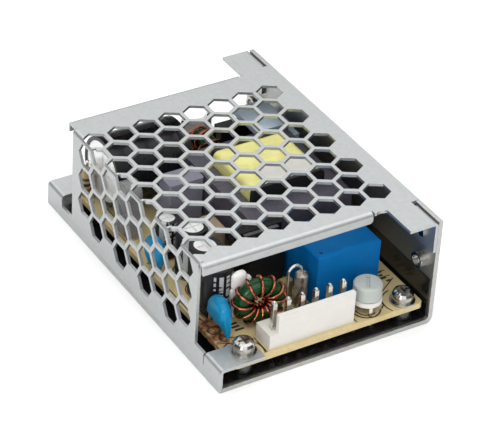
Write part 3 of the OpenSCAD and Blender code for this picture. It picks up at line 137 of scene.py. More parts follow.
class Shader:
    """A material whose nodes are added and linked in short calls."""

    def __init__(self, name):
        self.material = bpy.data.materials.new(name)
        self.material.use_nodes = True
        self.tree = self.material.node_tree
        self.bsdf = self.tree.nodes["Principled BSDF"]
        self.coords = self.add("ShaderNodeTexCoord").outputs["Object"]

    def add(self, kind, **values):
        node = self.tree.nodes.new(kind)
        for key, value in values.items():
            setattr(node, key, value)
        return node

    def put(self, value, socket):
        if isinstance(value, bpy.types.NodeSocket):
            self.tree.links.new(value, socket)
        elif isinstance(value, tuple) and len(value) == 3 and socket.type == "RGBA":
            socket.default_value = (*value, 1.0)
        else:
            socket.default_value = value

    def maths(self, operation, *values, clamp=False):
        node = self.add("ShaderNodeMath", operation=operation, use_clamp=clamp)
        for socket, value in zip(node.inputs, values):
            self.put(value, socket)
        return node.outputs[0]

    def times(self, a, b):
        return self.maths("MULTIPLY", a, b)

    def mix(self, factor, low, high):
        node = self.add("ShaderNodeMix", data_type="RGBA")
        self.put(factor, node.inputs[0])
        self.put(low, node.inputs[MIX_A])
        self.put(high, node.inputs[MIX_B])
        return node.outputs[MIX_OUT]

    def span(self, value, low, high, out_low=0.0, out_high=1.0):
        """The value moved from one range to another."""
        node = self.add("ShaderNodeMapRange")
        self.put(value, node.inputs["Value"])
        ends = {"From Min": low, "From Max": high, "To Min": out_low, "To Max": out_high}
        for name, number in ends.items():
            self.put(number, node.inputs[name])
        return node.outputs["Result"]

    def scaled(self, stretch):
        node = self.add("ShaderNodeMapping")
        node.inputs["Scale"].default_value = stretch
        self.put(self.coords, node.inputs["Vector"])
        return node.outputs["Vector"]

    def noise(self, scale, detail=3.0, stretch=None):
        node = self.add("ShaderNodeTexNoise")
        self.put(self.scaled(stretch) if stretch else self.coords, node.inputs["Vector"])
        node.inputs["Scale"].default_value = scale
        node.inputs["Detail"].default_value = detail
        return node.outputs["Fac"]

    def patches(self, scale, start, full, most=1.0, detail=3.0, stretch=None):
        """Noise patches: nothing below one noise value, full strength from another on."""
        return self.span(self.noise(scale, detail, stretch), start, full, 0.0, most)

    def axes(self):
        node = self.add("ShaderNodeSeparateXYZ")
        self.put(self.coords, node.inputs[0])
        return node.outputs[0], node.outputs[1], node.outputs[2]

    def within(self, value, low, high, soft=LIMIT_SOFT):
        """1 where the value lies between two limits."""
        up = self.span(value, low - soft, low + soft)
        down = self.span(value, high - soft, high + soft, 1.0, 0.0)
        return self.times(up, down)


NOISE_RANGE = (0.3, 0.7)  # where most of a noise texture's values lie
CLOUD_DETAIL = 4.0
GLOSS_FINENESS = 1.7  # the gloss varies on a finer scale than the colour
LEAST_ROUGH = 0.03
BEVEL_SAMPLES = 4
WEAR_REACH = 2.5  # how far wear comes in from an edge, in bevel radii
WEAR_TURN = (0.82, 0.99)  # cosine of an edge's turn where wear is full, and where it ends
WEAR_SCALE = 900.0
WEAR_PATCHES = (0.35, 0.6)
WEAR_GAIN, WEAR_LIFT = 1.5, 0.05


def lighter(colour, gain, lift=0.0):
    return tuple(min(1.0, c * gain + lift) for c in colour)


def rounded_normal(s, radius):
    node = s.add("ShaderNodeBevel", samples=BEVEL_SAMPLES)
    node.inputs["Radius"].default_value = radius * MM
    return node.outputs[0]


def worn_edges(s, shade, colour, bevel, wear):
    """Brighter patches along the edges."""
    wide = rounded_normal(s, bevel * WEAR_REACH)
    flat = s.add("ShaderNodeNewGeometry").outputs["Normal"]
    turn = s.add("ShaderNodeVectorMath", operation="DOT_PRODUCT")
    s.put(wide, turn.inputs[0])
    s.put(flat, turn.inputs[1])
    edge = s.span(turn.outputs["Value"], *WEAR_TURN, 1.0, 0.0)
    edge = s.maths("MULTIPLY", edge, s.patches(WEAR_SCALE, *WEAR_PATCHES), clamp=True)
    return s.mix(s.times(edge, wear), shade, lighter(colour, WEAR_GAIN, WEAR_LIFT))


def surface(name, colour, rough, metal=0.0, tint=0.08, tint_scale=500.0, stretch=None, spread=0.07,
            bump=0.008, bump_scale=2500.0, bevel=0.12, wear=0.0, paint=None, **sockets):
    """Principled surface with clouded colour, varied gloss, fine relief, soft and worn edges.

    bump and bevel are in millimetres. Other sockets go by their own words, such as coat_weight.
    """
    s = Shader(name)
    cloud = s.noise(tint_scale, CLOUD_DETAIL, stretch)
    shade = s.mix(s.span(cloud, *NOISE_RANGE), lighter(colour, 1 - tint), lighter(colour, 1 + tint))
    gloss = s.span(s.noise(tint_scale * GLOSS_FINENESS, stretch=stretch), *NOISE_RANGE,
                   max(LEAST_ROUGH, rough - spread), rough + spread)
    if wear:
        shade = worn_edges(s, shade, colour, bevel, wear)
    if paint:
        shade = paint(s, shade)
    s.put(shade, s.bsdf.inputs["Base Color"])
    s.put(gloss, s.bsdf.inputs["Roughness"])
    relief = s.add("ShaderNodeBump")
    relief.inputs["Distance"].default_value = bump * MM
    s.put(s.noise(bump_scale, stretch=stretch), relief.inputs["Height"])
    s.put(rounded_normal(s, bevel), relief.inputs["Normal"])
    s.put(relief.outputs[0], s.bsdf.inputs["Normal"])
    s.bsdf.inputs["Metallic"].default_value = metal
    for key, value in sockets.items():
        s.put(value, s.bsdf.inputs[key.replace("_", " ").title().replace("Ior", "IOR")])
    return s.material


# Paint: what lies on a surface's own colour
def sheet_paint(s, shade):
    """Faint crystal bloom and fine rolling lines of galvanized sheet."""
    crystal_scale, bloom_most, bloom_grey = 700.0, 0.10, (0.60, 0.61, 0.61)
    along_sheet, lines_grey = (1.0, 0.02, 1.0), (0.32, 0.33, 0.33)
    cells = s.add("ShaderNodeTexVoronoi")
    s.put(s.coords, cells.inputs["Vector"])
    cells.inputs["Scale"].default_value = crystal_scale
    grey = s.add("ShaderNodeRGBToBW")
    s.put(cells.outputs["Color"], grey.inputs[0])
    bloom = s.span(grey.outputs[0], 0.0, 1.0, 0.0, bloom_most)
    lines = s.patches(scale=900.0, start=0.35, full=0.65, most=0.07, detail=2.0,
                      stretch=along_sheet)
    shade = s.mix(bloom, shade, bloom_grey)
    return s.mix(lines, shade, lines_grey)


# Angles of the middles of the stripe and of the dashes, front capacitor first
CAP_PRINT = ((-0.75, -1.55), (-2.6, -1.7), (-2.4, -1.6), (-2.5, -1.7))


def sleeve_paint(s, shade):
    """Pale stripe and upright columns of plain pale dashes on each output capacitor."""
    cap_reach, bare_foot, bare_top = 4.15, 2.0, 1.4
    stripe_half, field_half, edge_soft = 0.22, 0.75, 0.01
    columns_per_turn, column_start, column_full = 13.0, -0.35, -0.2
    dash_shape, print_grey = (0.15, 0.15, 1.0), (0.50, 0.51, 0.52)
    foot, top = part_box("output_cap_sleeves")
    x, y, z = s.axes()
    dashes = s.patches(scale=1400.0, start=0.46, full=0.5, detail=0.0, stretch=dash_shape)
    for (cx, cy, _), (stripe_at, field_at) in zip(OUTPUT_CAPS, CAP_PRINT):
        near = s.within(y, (cy - cap_reach) * MM, (cy + cap_reach) * MM)
        high = s.within(z, foot.z + bare_foot * MM, top.z - bare_top * MM)
        angle = s.maths("ARCTAN2", s.maths("SUBTRACT", y, cy * MM), s.maths("SUBTRACT", x, cx * MM))
        stripe = s.within(angle, stripe_at - stripe_half, stripe_at + stripe_half, edge_soft)
        field = s.within(angle, field_at - field_half, field_at + field_half, edge_soft)
        waves = s.maths("SINE", s.times(angle, columns_per_turn))
        columns = s.span(waves, column_start, column_full)
        rows = s.times(s.times(field, columns), dashes)
        mask = s.times(s.times(near, high), s.maths("MAXIMUM", stripe, rows))
        shade = s.mix(mask, shade, print_grey)
    return shade


def flux_paint(s, shade):
    """Brown flux stain at the near left corner of the board and a few faint ones elsewhere."""
    corner_x, soft_x = (-27.0, -21.2), 1.4
    corner_y, soft_y = (-36.0, -23.0), 2.5
    brown, burnt_brown, faint_brown = (0.24, 0.10, 0.032), (0.055, 0.02, 0.008), (0.40, 0.28, 0.11)
    x, y, _ = s.axes()
    corner = s.times(s.within(x, corner_x[0] * MM, corner_x[1] * MM, soft_x * MM),
                     s.within(y, corner_y[0] * MM, corner_y[1] * MM, soft_y * MM))
    stain = s.times(corner, s.patches(scale=420.0, start=0.25, full=0.5))
    shade = s.mix(stain, shade, brown)
    burnt = s.times(corner, s.patches(scale=800.0, start=0.52, full=0.62, detail=2.0))
    shade = s.mix(burnt, shade, burnt_brown)
    faint = s.patches(scale=120.0, start=0.58, full=0.75, most=0.35, detail=4.0)
    return s.mix(faint, shade, faint_brown)


def ledge_paint(s, shade):
    """Soft shadow line under the rim of a header wall."""
    rim_height, line_width, line_soft = 1.58, 0.2, 0.08
    line_most, shadow_grey = 0.28, (0.52, 0.49, 0.44)
    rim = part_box("output_header")[1].z - rim_height * MM
    z = s.axes()[2]
    line = s.within(z, rim - line_width * MM, rim, line_soft * MM)
    return s.mix(s.times(line, line_most), shade, shadow_grey)


def diode_paint(s, shade):
    """Dulled plating with dark flux runs."""
    downward, runs_most, flux_brown = (1.0, 1.0, 0.4), 0.8, (0.035, 0.028, 0.022)
    runs = s.patches(scale=520.0, start=0.5, full=0.6, detail=2.0, stretch=downward)
    return s.mix(s.times(runs, runs_most), shade, flux_brown)


def resistor_paint(s, shade):
    """Painted rings on the upright resistor, evenly spaced between its bare ends."""
    bands = ((0.25, 0.09, 0.02), (0.01, 0.01, 0.01), (0.09, 0.025, 0.012), (0.5, 0.35, 0.1))
    bare_foot, bare_top, gap_share, band_share = 0.8, 0.6, 0.25, 0.5
    foot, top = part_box("fusible_resistor")
    low, high = foot.z + bare_foot * MM, top.z - bare_top * MM
    step = (high - low) / len(bands)
    z = s.axes()[2]
    for i, colour in enumerate(bands):
        start = low + step * (i + gap_share)
        shade = s.mix(s.within(z, start, start + step * band_share), shade, colour)
    return shade


def tape_paint(s, shade):
    """Paler lines where the tape overlaps."""
    radians_per_metre = 1400.0
    lap_start, lap_full, lap_most, lap_yellow = 0.93, 0.99, 0.35, (0.86, 0.83, 0.50)
    waves = s.maths("SINE", s.times(s.axes()[1], radians_per_metre))
    return s.mix(s.span(waves, lap_start, lap_full, 0.0, lap_most), shade, lap_yellow)


# Materials
STEEL = (0.45, 0.455, 0.44)
COVER = (0.475, 0.49, 0.49)
SHEET = dict(tint=0.04, tint_scale=900.0, spread=0.025, bump=0.003, bump_scale=2200.0,
             paint=sheet_paint)
ACROSS = (0.08, 1.0, 1.0)

steel = surface("galvanized_base", STEEL, 0.42, 1.0, bevel=0.25, wear=0.5, **SHEET)
cover = surface("galvanized_cover", COVER, 0.46, 1.0, bevel=0.07, wear=0.55, **SHEET)
film = surface("black_film", (0.006, 0.006, 0.007), 0.2, bump=0.06, bump_scale=190.0, tint=0.3)
nickel = surface("nickel_plate", (0.42, 0.405, 0.38), 0.12, 1.0, tint=0.15, tint_scale=900.0,
                 spread=0.05, bump=0.006, bump_scale=1300.0, wear=0.5, bevel=0.1)
# Zinc plate with a very dark base colour: painted shade for the standoffs, package tabs and package
# screws, which sit in the case's shadow
painted_shade_zinc = surface("painted_shade_zinc", (0.10, 0.10, 0.10), 0.3, 1.0, tint=0.15, tint_scale=700.0,
                    bevel=0.2)
tin = surface("tin_plate", (0.70, 0.68, 0.63), 0.17, 1.0, tint=0.16, tint_scale=1400.0, bump=0.02,
              bump_scale=1800.0, wear=0.4, bevel=0.18)
laminate = surface("paper_laminate", (0.57, 0.46, 0.235), 0.46, tint=0.07, tint_scale=700.0,
                   stretch=(1.0, 0.25, 1.0), bump=0.006, wear=0.5, paint=flux_paint)
nylon = surface("white_nylon", (0.66, 0.64, 0.60), 0.42, tint=0.03, tint_scale=260.0, bump=0.004,
                bevel=0.2, paint=ledge_paint, subsurface_weight=0.12,
                subsurface_radius=(0.8 * MM, 0.7 * MM, 0.6 * MM))
frosted = surface("frosted_knob", (0.66, 0.70, 0.66), 0.36, tint=0.05, tint_scale=600.0, bump=0.006,
                  bevel=0.3, transmission_weight=0.45, ior=1.45, subsurface_weight=0.25,
                  subsurface_radius=(MM, MM, MM))
track = surface("resistive_disc", (0.16, 0.08, 0.04), 0.6, tint=0.2)
relay_blue = surface("relay_case", (0.0, 0.118, 0.345), 0.5, specular_ior_level=0.08, tint=0.06,
                     tint_scale=220.0, bump=0.007, bump_scale=3200.0, bevel=0.3, wear=0.18)
core_green = surface("core_coat", (0.003, 0.046, 0.008), 0.26, specular_ior_level=0.2, tint=0.35,
                     tint_scale=420.0, bump=0.03, bump_scale=900.0, coat_weight=0.25,
                     coat_roughness=0.06)
copper = surface("enamelled_wire", (0.36, 0.10, 0.05), 0.11, 1.0, tint=0.55, tint_scale=420.0,
                 bump=0.004, coat_weight=0.3, coat_roughness=0.05)
disc_blue = surface("dipped_blue", (0.001, 0.20, 0.39), 0.42, specular_ior_level=0.12, tint=0.12,
                    tint_scale=320.0, bump=0.005, bump_scale=700.0, coat_weight=0.3,
                    coat_roughness=0.03)
aluminium = surface("bare_aluminium", (0.80, 0.80, 0.79), 0.34, 0.75, tint=0.05, tint_scale=400.0,
                    stretch=ACROSS, bevel=0.2, wear=0.4)
sink_blue = surface("sink_aluminium", (0.46, 0.55, 0.64), 0.36, 0.45, tint=0.06, tint_scale=400.0,
                    stretch=ACROSS, bevel=0.2, wear=0.4)
sleeves = surface("capacitor_sleeve", (0.008, 0.008, 0.010), 0.34, specular_ior_level=0.25,
                  tint=0.2, bump=0.006, bevel=0.3, paint=sleeve_paint)
bulk_sleeve = surface("bulk_sleeve", (0.009, 0.009, 0.011), 0.3, specular_ior_level=0.3, tint=0.25,
                      bevel=0.4)
dipped_grey = surface("dipped_grey", (0.20, 0.195, 0.195), 0.28, tint=0.12, tint_scale=300.0,
                      bump=0.02, bump_scale=800.0)
box_grey = surface("box_grey", (0.20, 0.195, 0.25), 0.45, bevel=0.3, wear=0.3)
beige = surface("dipped_beige", (0.40, 0.31, 0.21), 0.4, tint=0.15, tint_scale=350.0, bump=0.02,
                bump_scale=900.0)
olive = surface("dipped_olive", (0.24, 0.20, 0.06), 0.36, tint=0.2, bump=0.02)
ferrite = surface("ground_ferrite", (0.075, 0.07, 0.09), 0.5, specular_ior_level=0.3, tint=0.14,
                  tint_scale=900.0, bump=0.012, bevel=0.4, wear=0.5)
phenolic = surface("black_phenolic", (0.010, 0.010, 0.011), 0.45, specular_ior_level=0.25, tint=0.2,
                   bevel=0.2, wear=0.15)
tape = surface("yellow_tape", (0.78, 0.74, 0.25), 0.34, tint=0.10, tint_scale=260.0, bump=0.04,
               bump_scale=330.0, bevel=0.5, coat_weight=0.3, paint=tape_paint)
label = surface("bare_label", (0.64, 0.63, 0.58), 0.55, tint=0.05, tint_scale=300.0)
black_sink = surface("black_anodized", (0.006, 0.006, 0.007), 0.5, specular_ior_level=0.2, tint=0.2,
                     bevel=0.2, wear=0.25)
ceramic = surface("fuse_tube", (0.74, 0.71, 0.60), 0.3, tint=0.06)
diode_grey = surface("diode_body", (0.36, 0.33, 0.28), 0.34, 0.6, tint=0.25, tint_scale=1100.0,
                     bump=0.02, paint=diode_paint)
resistor = surface("resistor_body", (0.42, 0.32, 0.20), 0.4, tint=0.12, bump=0.01,
                   paint=resistor_paint)
silicone = surface("cured_silicone", (0.93, 0.91, 0.89), 0.45, tint=0.04, tint_scale=300.0,
                   bump=0.01, bump_scale=500.0)
ink = surface("board_ink", (0.016, 0.014, 0.013), 0.55, tint=0.3)
solder = surface("solder", (0.62, 0.62, 0.60), 0.22, 1.0, tint=0.12, tint_scale=1500.0, bump=0.01)

NODE_LOOKS = {
    steel: ("base_chassis",),
    cover: ("top_cover",),
    film: ("insulation_film",),
    painted_shade_zinc: ("package_tabs", "package_screws", "board_standoffs"),
    nickel: ("wall_nuts", "board_screws", "spring_washers", "flat_washers", "cover_screws"),
    laminate: ("circuit_board",),
    nylon: ("output_header", "input_header", "trimmer_base"),
    tin: ("output_pins", "input_pins", "trimmer_legs", "fuse_caps", "bent_leads",
          "component_leads"),
    track: ("trimmer_track",),
    frosted: ("trimmer_knob",),
    relay_blue: ("relay",),
    core_green: ("output_choke_core", "filter_choke_core"),
    copper: ("output_choke_winding", "filter_choke_winding"),
    disc_blue: ("disc_capacitor", "y_capacitors"),
    aluminium: ("output_cap_cans", "bulk_cap_can"),
    sink_blue: ("heat_sink",),
    sleeves: ("output_cap_sleeves",),
    bulk_sleeve: ("bulk_cap_sleeve",),
    dipped_grey: ("film_capacitor",),
    box_grey: ("box_capacitor",),
    beige: ("polyester_capacitor",),
    resistor: ("fusible_resistor",),
    olive: ("ceramic_capacitor",),
    ferrite: ("transformer_core",),
    phenolic: ("transformer_bobbin", "power_packages", "bridge_rectifier", "optocoupler"),
    tape: ("transformer_winding",),
    label: ("transformer_label",),
    black_sink: ("output_heat_sink",),
    ceramic: ("input_fuse",),
    diode_grey: ("standing_diode",),
    silicone: ("silicone_bead",),
}


def dress(node, material):
    slots = nodes[node].data.materials
    slots.clear()
    slots.append(material)


for look, names in NODE_LOOKS.items():
    for name in names:
        dress(name, look)


def new_piece(name, mesh, material, body):
    piece = bpy.data.objects.new(name, mesh)
    bpy.context.scene.collection.objects.link(piece)
    mesh.materials.clear()
    mesh.materials.append(material)
    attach(piece, body)
    return piece


# Dipped and poured parts: the solid's form with its corners run together
SMOOTHING = 0.5
FOOT_HEIGHT = 4.5
FOOT_WIDTH, FOOT_CURVE = 0.3, 0.7  # share of the width left at the foot, and how fast it grows
BEAD_ROUNDS = 20
RIPPLE_SCALE, RIPPLE_MOST = 180.0, 0.05
# How much wider the bead's left half gets, between two shares of its height
BEAD_LEANS = ((0.3, 0.1, 0.45), (0.85, 0.56, 0.70))


def share_of(value, start, end):
    return min(1.0, max(0.0, (value - start) / (end - start)))


def ease(value, start, end):
    share = share_of(value, start, end)
    return share * share * (3.0 - 2.0 * share)


def narrow_foot(mesh, low, high):
    """Draws a disc in towards its foot, like a drop."""
    centre = (low.x + high.x) / 2
    for v in mesh.vertices:
        share = share_of(v.co.z, low.z, low.z + FOOT_HEIGHT * MM)
        width = FOOT_WIDTH + (1.0 - FOOT_WIDTH) * share ** FOOT_CURVE
        v.co.x = centre + (v.co.x - centre) * width


def lean_left(mesh, low, high):
    """Widens the bead's left half with height, ripples it a little and smooths it again."""
    centre = (low + high) / 2
    for v in mesh.vertices:
        rise = (v.co.z - low.z) / (high.z - low.z)
        ripple = 1.0 + noise.noise(v.co * RIPPLE_SCALE) * RIPPLE_MOST
        lean = sum(most * ease(rise, start, end) for most, start, end in BEAD_LEANS)
        reach = 1.0 + lean if v.co.x < centre.x else 1.0
        v.co.x = centre.x + (v.co.x - centre.x) * reach * ripple
        v.co.y = centre.y + (v.co.y - centre.y) * ripple
    bm = bmesh.new()
    bm.from_mesh(mesh)
    for _ in range(BEAD_ROUNDS):
        bmesh.ops.smooth_vert(bm, verts=bm.verts, factor=SMOOTHING,
                              use_axis_x=True, use_axis_y=True, use_axis_z=True)
    bm.to_mesh(mesh)
    bm.free()


def run_together(node, name, material, voxel, rounds, shape=None):
    """Remeshed and smoothed copy of a node, which it replaces."""
    source = bpy.data.objects.new("source", nodes[node].data.copy())
    bpy.context.scene.collection.objects.link(source)
    mesher = source.modifiers.new("mesher", "REMESH")
    mesher.mode = "VOXEL"
    mesher.voxel_size = voxel * MM
    easer = source.modifiers.new("easer", "SMOOTH")
    easer.factor = SMOOTHING
    easer.iterations = rounds
    graph = bpy.context.evaluated_depsgraph_get()
    mesh = bpy.data.meshes.new_from_object(source.evaluated_get(graph))
    old = source.data
    bpy.data.objects.remove(source)
    bpy.data.meshes.remove(old)
    mesh.name = name
    if shape:
        shape(mesh, *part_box(node))
    for polygon in mesh.polygons:
        polygon.use_smooth = True
    piece = new_piece(name, mesh, material, CASE)
    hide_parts(node)


run_together("disc_capacitor", "dipped_disc", disc_blue,
             voxel=0.13, rounds=9, shape=narrow_foot)
run_together("y_capacitors", "dipped_mains_disc", disc_blue, voxel=0.15, rounds=9)
run_together("film_capacitor", "dipped_film", dipped_grey, voxel=0.2, rounds=16)
run_together("polyester_capacitor", "dipped_polyester", beige,
             voxel=0.16, rounds=14)
run_together("ceramic_capacitor", "dipped_ceramic", olive, voxel=0.12, rounds=12)
run_together("silicone_bead", "poured_silicone", silicone,
             voxel=0.14, rounds=BEAD_ROUNDS, shape=lean_left)


# Pieces built face by face
def skin(bm, rings):
    """Closed tube through rings of vertices."""
    count = len(rings[0])
    for a, b in zip(rings, rings[1:]):
        for k in range(count):
            n = (k + 1) % count
            bm.faces.new((a[k], a[n], b[n], b[k]))
    bm.faces.new(list(reversed(rings[0])))
    bm.faces.new(rings[-1])


def built_piece(bm, name, material, smooth):
    bmesh.ops.recalc_face_normals(bm, faces=bm.faces)
    for face in bm.faces:
        face.smooth = smooth
    mesh = bpy.data.meshes.new(name)
    bm.to_mesh(mesh)
    bm.free()
    new_piece(name, mesh, material, CASE)


# Board print: plain lines, rings and bars, with widths and places on the board in millimetres
PRINT_RISE = 0.012 * MM
PRINT_SINK = 0.010 * MM
PRINT_MARGIN = 0.4 * MM
OPEN_RING = 352  # degrees
OUTLINED = ("relay", "box_capacitor", "film_capacitor", "polyester_capacitor", "bridge_rectifier",
            "optocoupler", "ceramic_capacitor")
OUTLINE_GAP, OUTLINE_WIDTH = 0.4, 0.28
CAP_RING_GAP, CAP_RING_STEPS = 0.52, 44  # the gap is from the can, past its sleeve
DIODE_RING_GAP, DIODE_RING_STEPS = 0.5, 40
# Arcs round the trimmer: step in from its edge, start and end in degrees, steps, width
TRIMMER_ARCS = ((0.2, 150, 330, 40, 0.45), (1.2, 170, 300, 30, 0.35))
TRIMMER_MARK = ((3.6, -1.8), (5.0, -0.6), (4.9, 0.8))
TRIMMER_MARK_WIDTH = 0.35
# Arcs round the board screws: screw, radius, start and end in degrees, steps
NEAR_LEFT, NEAR_RIGHT, FAR_LEFT, FAR_RIGHT = range(4)
SCREW_ARCS = ((NEAR_RIGHT, 5.1, 100, 262, 40), (NEAR_LEFT, 5.4, -24, 62, 30),
              (NEAR_LEFT, 5.2, 100, 150, 20), (FAR_RIGHT, 5.1, 98, 260, 30),
              (FAR_LEFT, 5.4, -62, 24, 30))
SCREW_ARC_WIDTH = 0.36
# Rings in the stained corner: x, y, radius, start and end in degrees, steps
CORNER_RINGS = ((-23.8, -29.6, 1.5, 0, OPEN_RING, 30), (-22.9, -33.4, 1.3, 30, 300, 24))
CORNER_RING_WIDTH = 0.4
STROKES = (
    ((-25.7, -26.6), (-22.4, -28.0), (-21.2, -31.4)),
    ((-25.7, -31.6), (-23.4, -32.2), (-20.4, -34.8)),
    ((-25.2, -34.4), (-22.4, -36.2)),
    ((-24.6, -23.6), (-24.0, -27.6)),
    ((-16.5, -42.8), (-16.5, -36.4)),
    ((9.4, -42.9), (9.4, -40.8)),
    ((-25.3, -25.0), (-25.3, -10.0)),
    ((22.0, -35.2), (27.6, -31.6)),
    ((24.0, -30.2), (27.6, -30.2)),
    ((24.0, -27.8), (27.6, -27.8)),
    ((-8.0, -28.8), (-5.0, -28.8), (-5.0, -24.0)),
    ((-24.4, 22.0), (-22.6, 22.0), (-22.6, 28.0)),
    ((6.0, 35.4), (3.0, 35.4), (3.0, 42.4)),
    ((18.0, 37.0), (18.0, 42.0), (20.4, 42.0)),
)
STROKE_WIDTH = 0.32
# Bars: x and y of the left end, length
BARS = (
    (24.6, -30.6, 1.6), (24.9, -29.3, 1.1), (24.8, -28.0, 1.7), (25.4, -32.0, 1.3),
    (-19.8, -29.4, 2.6), (-19.4, -30.7, 2.2), (-19.2, -32.0, 2.6), (24.6, -25.6, 2.0),
    (24.6, -24.2, 1.4), (-6.4, -33.9, 1.6), (4.6, -34.4, 1.4),
)
BAR_WIDTH = 0.72


def on_board(p):
    return (BOARD_LOW.x + PRINT_MARGIN < p.x < BOARD_HIGH.x - PRINT_MARGIN
            and BOARD_LOW.y + PRINT_MARGIN < p.y < BOARD_HIGH.y - PRINT_MARGIN)


def strip(bm, points, width):
    """Thin bar of ink along points, cut off at the board's edge."""
    flat = [Vector((p[0], p[1], 0.0)) * MM for p in points]
    top = Vector((0.0, 0.0, BOARD_HIGH.z + PRINT_RISE))
    foot = Vector((0.0, 0.0, BOARD_HIGH.z - PRINT_SINK))
    runs = [[]]
    for i, p in enumerate(flat):
        if not on_board(p):
            runs.append([])
            continue
        way = (flat[min(i + 1, len(flat) - 1)] - flat[max(i - 1, 0)]).normalized()
        side = Vector((-way.y, way.x, 0.0)) * width * MM / 2
        runs[-1].append([p + q for q in (side + top, foot + side, foot - side, top - side)])
    for run in runs:
        if len(run) > 1:
            skin(bm, [[bm.verts.new(corner) for corner in row] for row in run])


def arc(x, y, radius, start, end, steps):
    angles = [math.radians(start + (end - start) * i / steps) for i in range(steps + 1)]
    return [(x + radius * math.cos(a), y + radius * math.sin(a)) for a in angles]


def outline(node):
    """Rectangle round a node's foot, back to its first corner."""
    low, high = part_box(node)
    x0, y0 = low.x / MM - OUTLINE_GAP, low.y / MM - OUTLINE_GAP
    x1, y1 = high.x / MM + OUTLINE_GAP, high.y / MM + OUTLINE_GAP
    return [(x0, y0), (x1, y0), (x1, y1), (x0, y1), (x0, y0)]


def board_print():
    bm = bmesh.new()
    for node in OUTLINED:
        strip(bm, outline(node), OUTLINE_WIDTH)
    for x, y, half in OUTPUT_CAPS:
        ring = arc(x, y, half + CAP_RING_GAP, 0, OPEN_RING, CAP_RING_STEPS)
        strip(bm, ring, OUTLINE_WIDTH)
    x, y, half = in_mm(middle(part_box("trimmer_base")))
    for inset, start, end, steps, width in TRIMMER_ARCS:
        strip(bm, arc(x, y, half - inset, start, end, steps), width)
    strip(bm, [(x + dx, y + dy) for dx, dy in TRIMMER_MARK], TRIMMER_MARK_WIDTH)
    x, y, half = in_mm(middle(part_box("standing_diode")))
    ring = arc(x, y, half + DIODE_RING_GAP, 0, OPEN_RING, DIODE_RING_STEPS)
    strip(bm, ring, OUTLINE_WIDTH)
    for screw, radius, start, end, steps in SCREW_ARCS:
        x, y, _ = BOARD_SCREWS[screw]
        strip(bm, arc(x, y, radius, start, end, steps), SCREW_ARC_WIDTH)
    for x, y, radius, start, end, steps in CORNER_RINGS:
        strip(bm, arc(x, y, radius, start, end, steps), CORNER_RING_WIDTH)
    for points in STROKES:
        strip(bm, points, STROKE_WIDTH)
    for x, y, length in BARS:
        strip(bm, ((x, y), (x + length, y)), BAR_WIDTH)
    built_piece(bm, "board_print", ink, smooth=False)


board_print()

# Solder: size of the joints at each node's leads, and their radius and drop on the way down
SOLDERED = {"component_leads": 1.0, "bent_leads": 1.1, "output_pins": 1.6, "input_pins": 1.6,
            "trimmer_legs": 1.1, "output_choke_winding": 1.0, "filter_choke_winding": 1.0}
FILLET = ((0.98, 0.004), (0.9, 0.16), (0.68, 0.5), (0.5, 0.85), (0.42, 1.05))
FILLET_SIDES = 14
LEAD_SHOWS = 0.2 * MM
LEAD_SPREAD = 1.2 * MM


def lead_ends(node):
    """Places where a node's leads come out under the board."""
    places = []
    for group in islands(node):
        ends = []
        for v in group:
            if v.z >= BOARD_LOW.z - LEAD_SHOWS:
                continue
            for end in ends:
                if (v.xy - end[0].xy).length < LEAD_SPREAD:
                    end.append(v)
                    break
            else:
                ends.append([v])
        places += [middle(end)[:2] for end in ends]
    return places


def solder_joints():
    """A fillet under the board round every lead that comes through it."""
    bm = bmesh.new()
    angles = [k * math.tau / FILLET_SIDES for k in range(FILLET_SIDES)]
    for node, size in SOLDERED.items():
        for x, y in lead_ends(node):
            rings = []
            for radius, drop in FILLET:
                r, z = radius * size * MM, BOARD_LOW.z - drop * MM
                rings.append([bm.verts.new((x + math.cos(a) * r, y + math.sin(a) * r, z))
                              for a in angles])
            skin(bm, rings)
    built_piece(bm, "solder_joints", solder, smooth=True)


solder_joints()

# Floor and light, in metres
FLOOR_HALF = 3.0
FLOOR_DROP = 0.05 * MM
FLOOR_SHADES = ((0.90, 0.90, 0.90), (0.93, 0.93, 0.93))
FLOOR_CLOUDS = 40.0
FLOOR_ROUGH = 0.7
SKY = ((0.05, 0.08), (0.35, 0.30), (0.75, 1.0))  # share of the way up, and grey
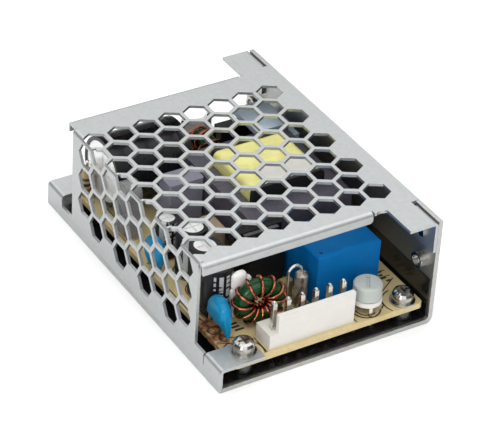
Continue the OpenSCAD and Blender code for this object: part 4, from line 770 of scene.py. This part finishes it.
# Name, place, target, side and power
LIGHTS = (
    ("key", (-0.35, -0.75, 0.75), (0, 0, 0.01), 1.2, 5.9),
    ("top", (0.1, 0.25, 0.9), (0, 0, 0), 1.5, 7.0),
    ("fill", (-0.6, -0.5, 0.2), (-0.012, -0.028, 0.014), 0.2, 1.1),
)


def stage_floor():
    mesh = bpy.data.meshes.new("floor")
    corners = [(x * FLOOR_HALF, y * FLOOR_HALF, 0) for x, y in ((-1, -1), (1, -1), (1, 1), (-1, 1))]
    mesh.from_pydata(corners, [], [(0, 1, 2, 3)])
    floor = bpy.data.objects.new("floor", mesh)
    floor.location.z = -FLOOR_DROP
    bpy.context.scene.collection.objects.link(floor)
    s = Shader("pale_floor")
    s.put(s.mix(s.noise(FLOOR_CLOUDS), *FLOOR_SHADES), s.bsdf.inputs["Base Color"])
    s.bsdf.inputs["Roughness"].default_value = FLOOR_ROUGH
    mesh.materials.append(s.material)


def area_light(name, place, target, side, power):
    data = bpy.data.lights.new(name, "AREA")
    data.shape = "RECTANGLE"
    data.size = data.size_y = side
    data.energy = power
    light = bpy.data.objects.new(name, data)
    light.location = place
    light.rotation_euler = (Vector(target) - Vector(place)).to_track_quat("-Z", "Y").to_euler()
    bpy.context.scene.collection.objects.link(light)


def studio():
    """Grey sky that gets paler with height, and three soft lights."""
    world = bpy.data.worlds.new("studio")
    bpy.context.scene.world = world
    world.use_nodes = True
    tree = world.node_tree
    background = tree.nodes["Background"]
    coords = tree.nodes.new("ShaderNodeTexCoord")
    split = tree.nodes.new("ShaderNodeSeparateXYZ")
    ramp = tree.nodes.new("ShaderNodeValToRGB")
    tree.links.new(coords.outputs["Generated"], split.inputs[0])
    tree.links.new(split.outputs[2], ramp.inputs[0])
    tree.links.new(ramp.outputs[0], background.inputs["Color"])
    background.inputs["Strength"].default_value = 1.0
    steps = ramp.color_ramp.elements
    steps.new(SKY[1][0])
    for step, (height, grey) in zip(steps, SKY):
        step.position = height
        step.color = (grey, grey, grey, 1.0)
    for light in LIGHTS:
        area_light(*light)
    bpy.context.scene.view_settings.view_transform = "Standard"
    bpy.context.scene.view_settings.look = "None"


stage_floor()
studio()
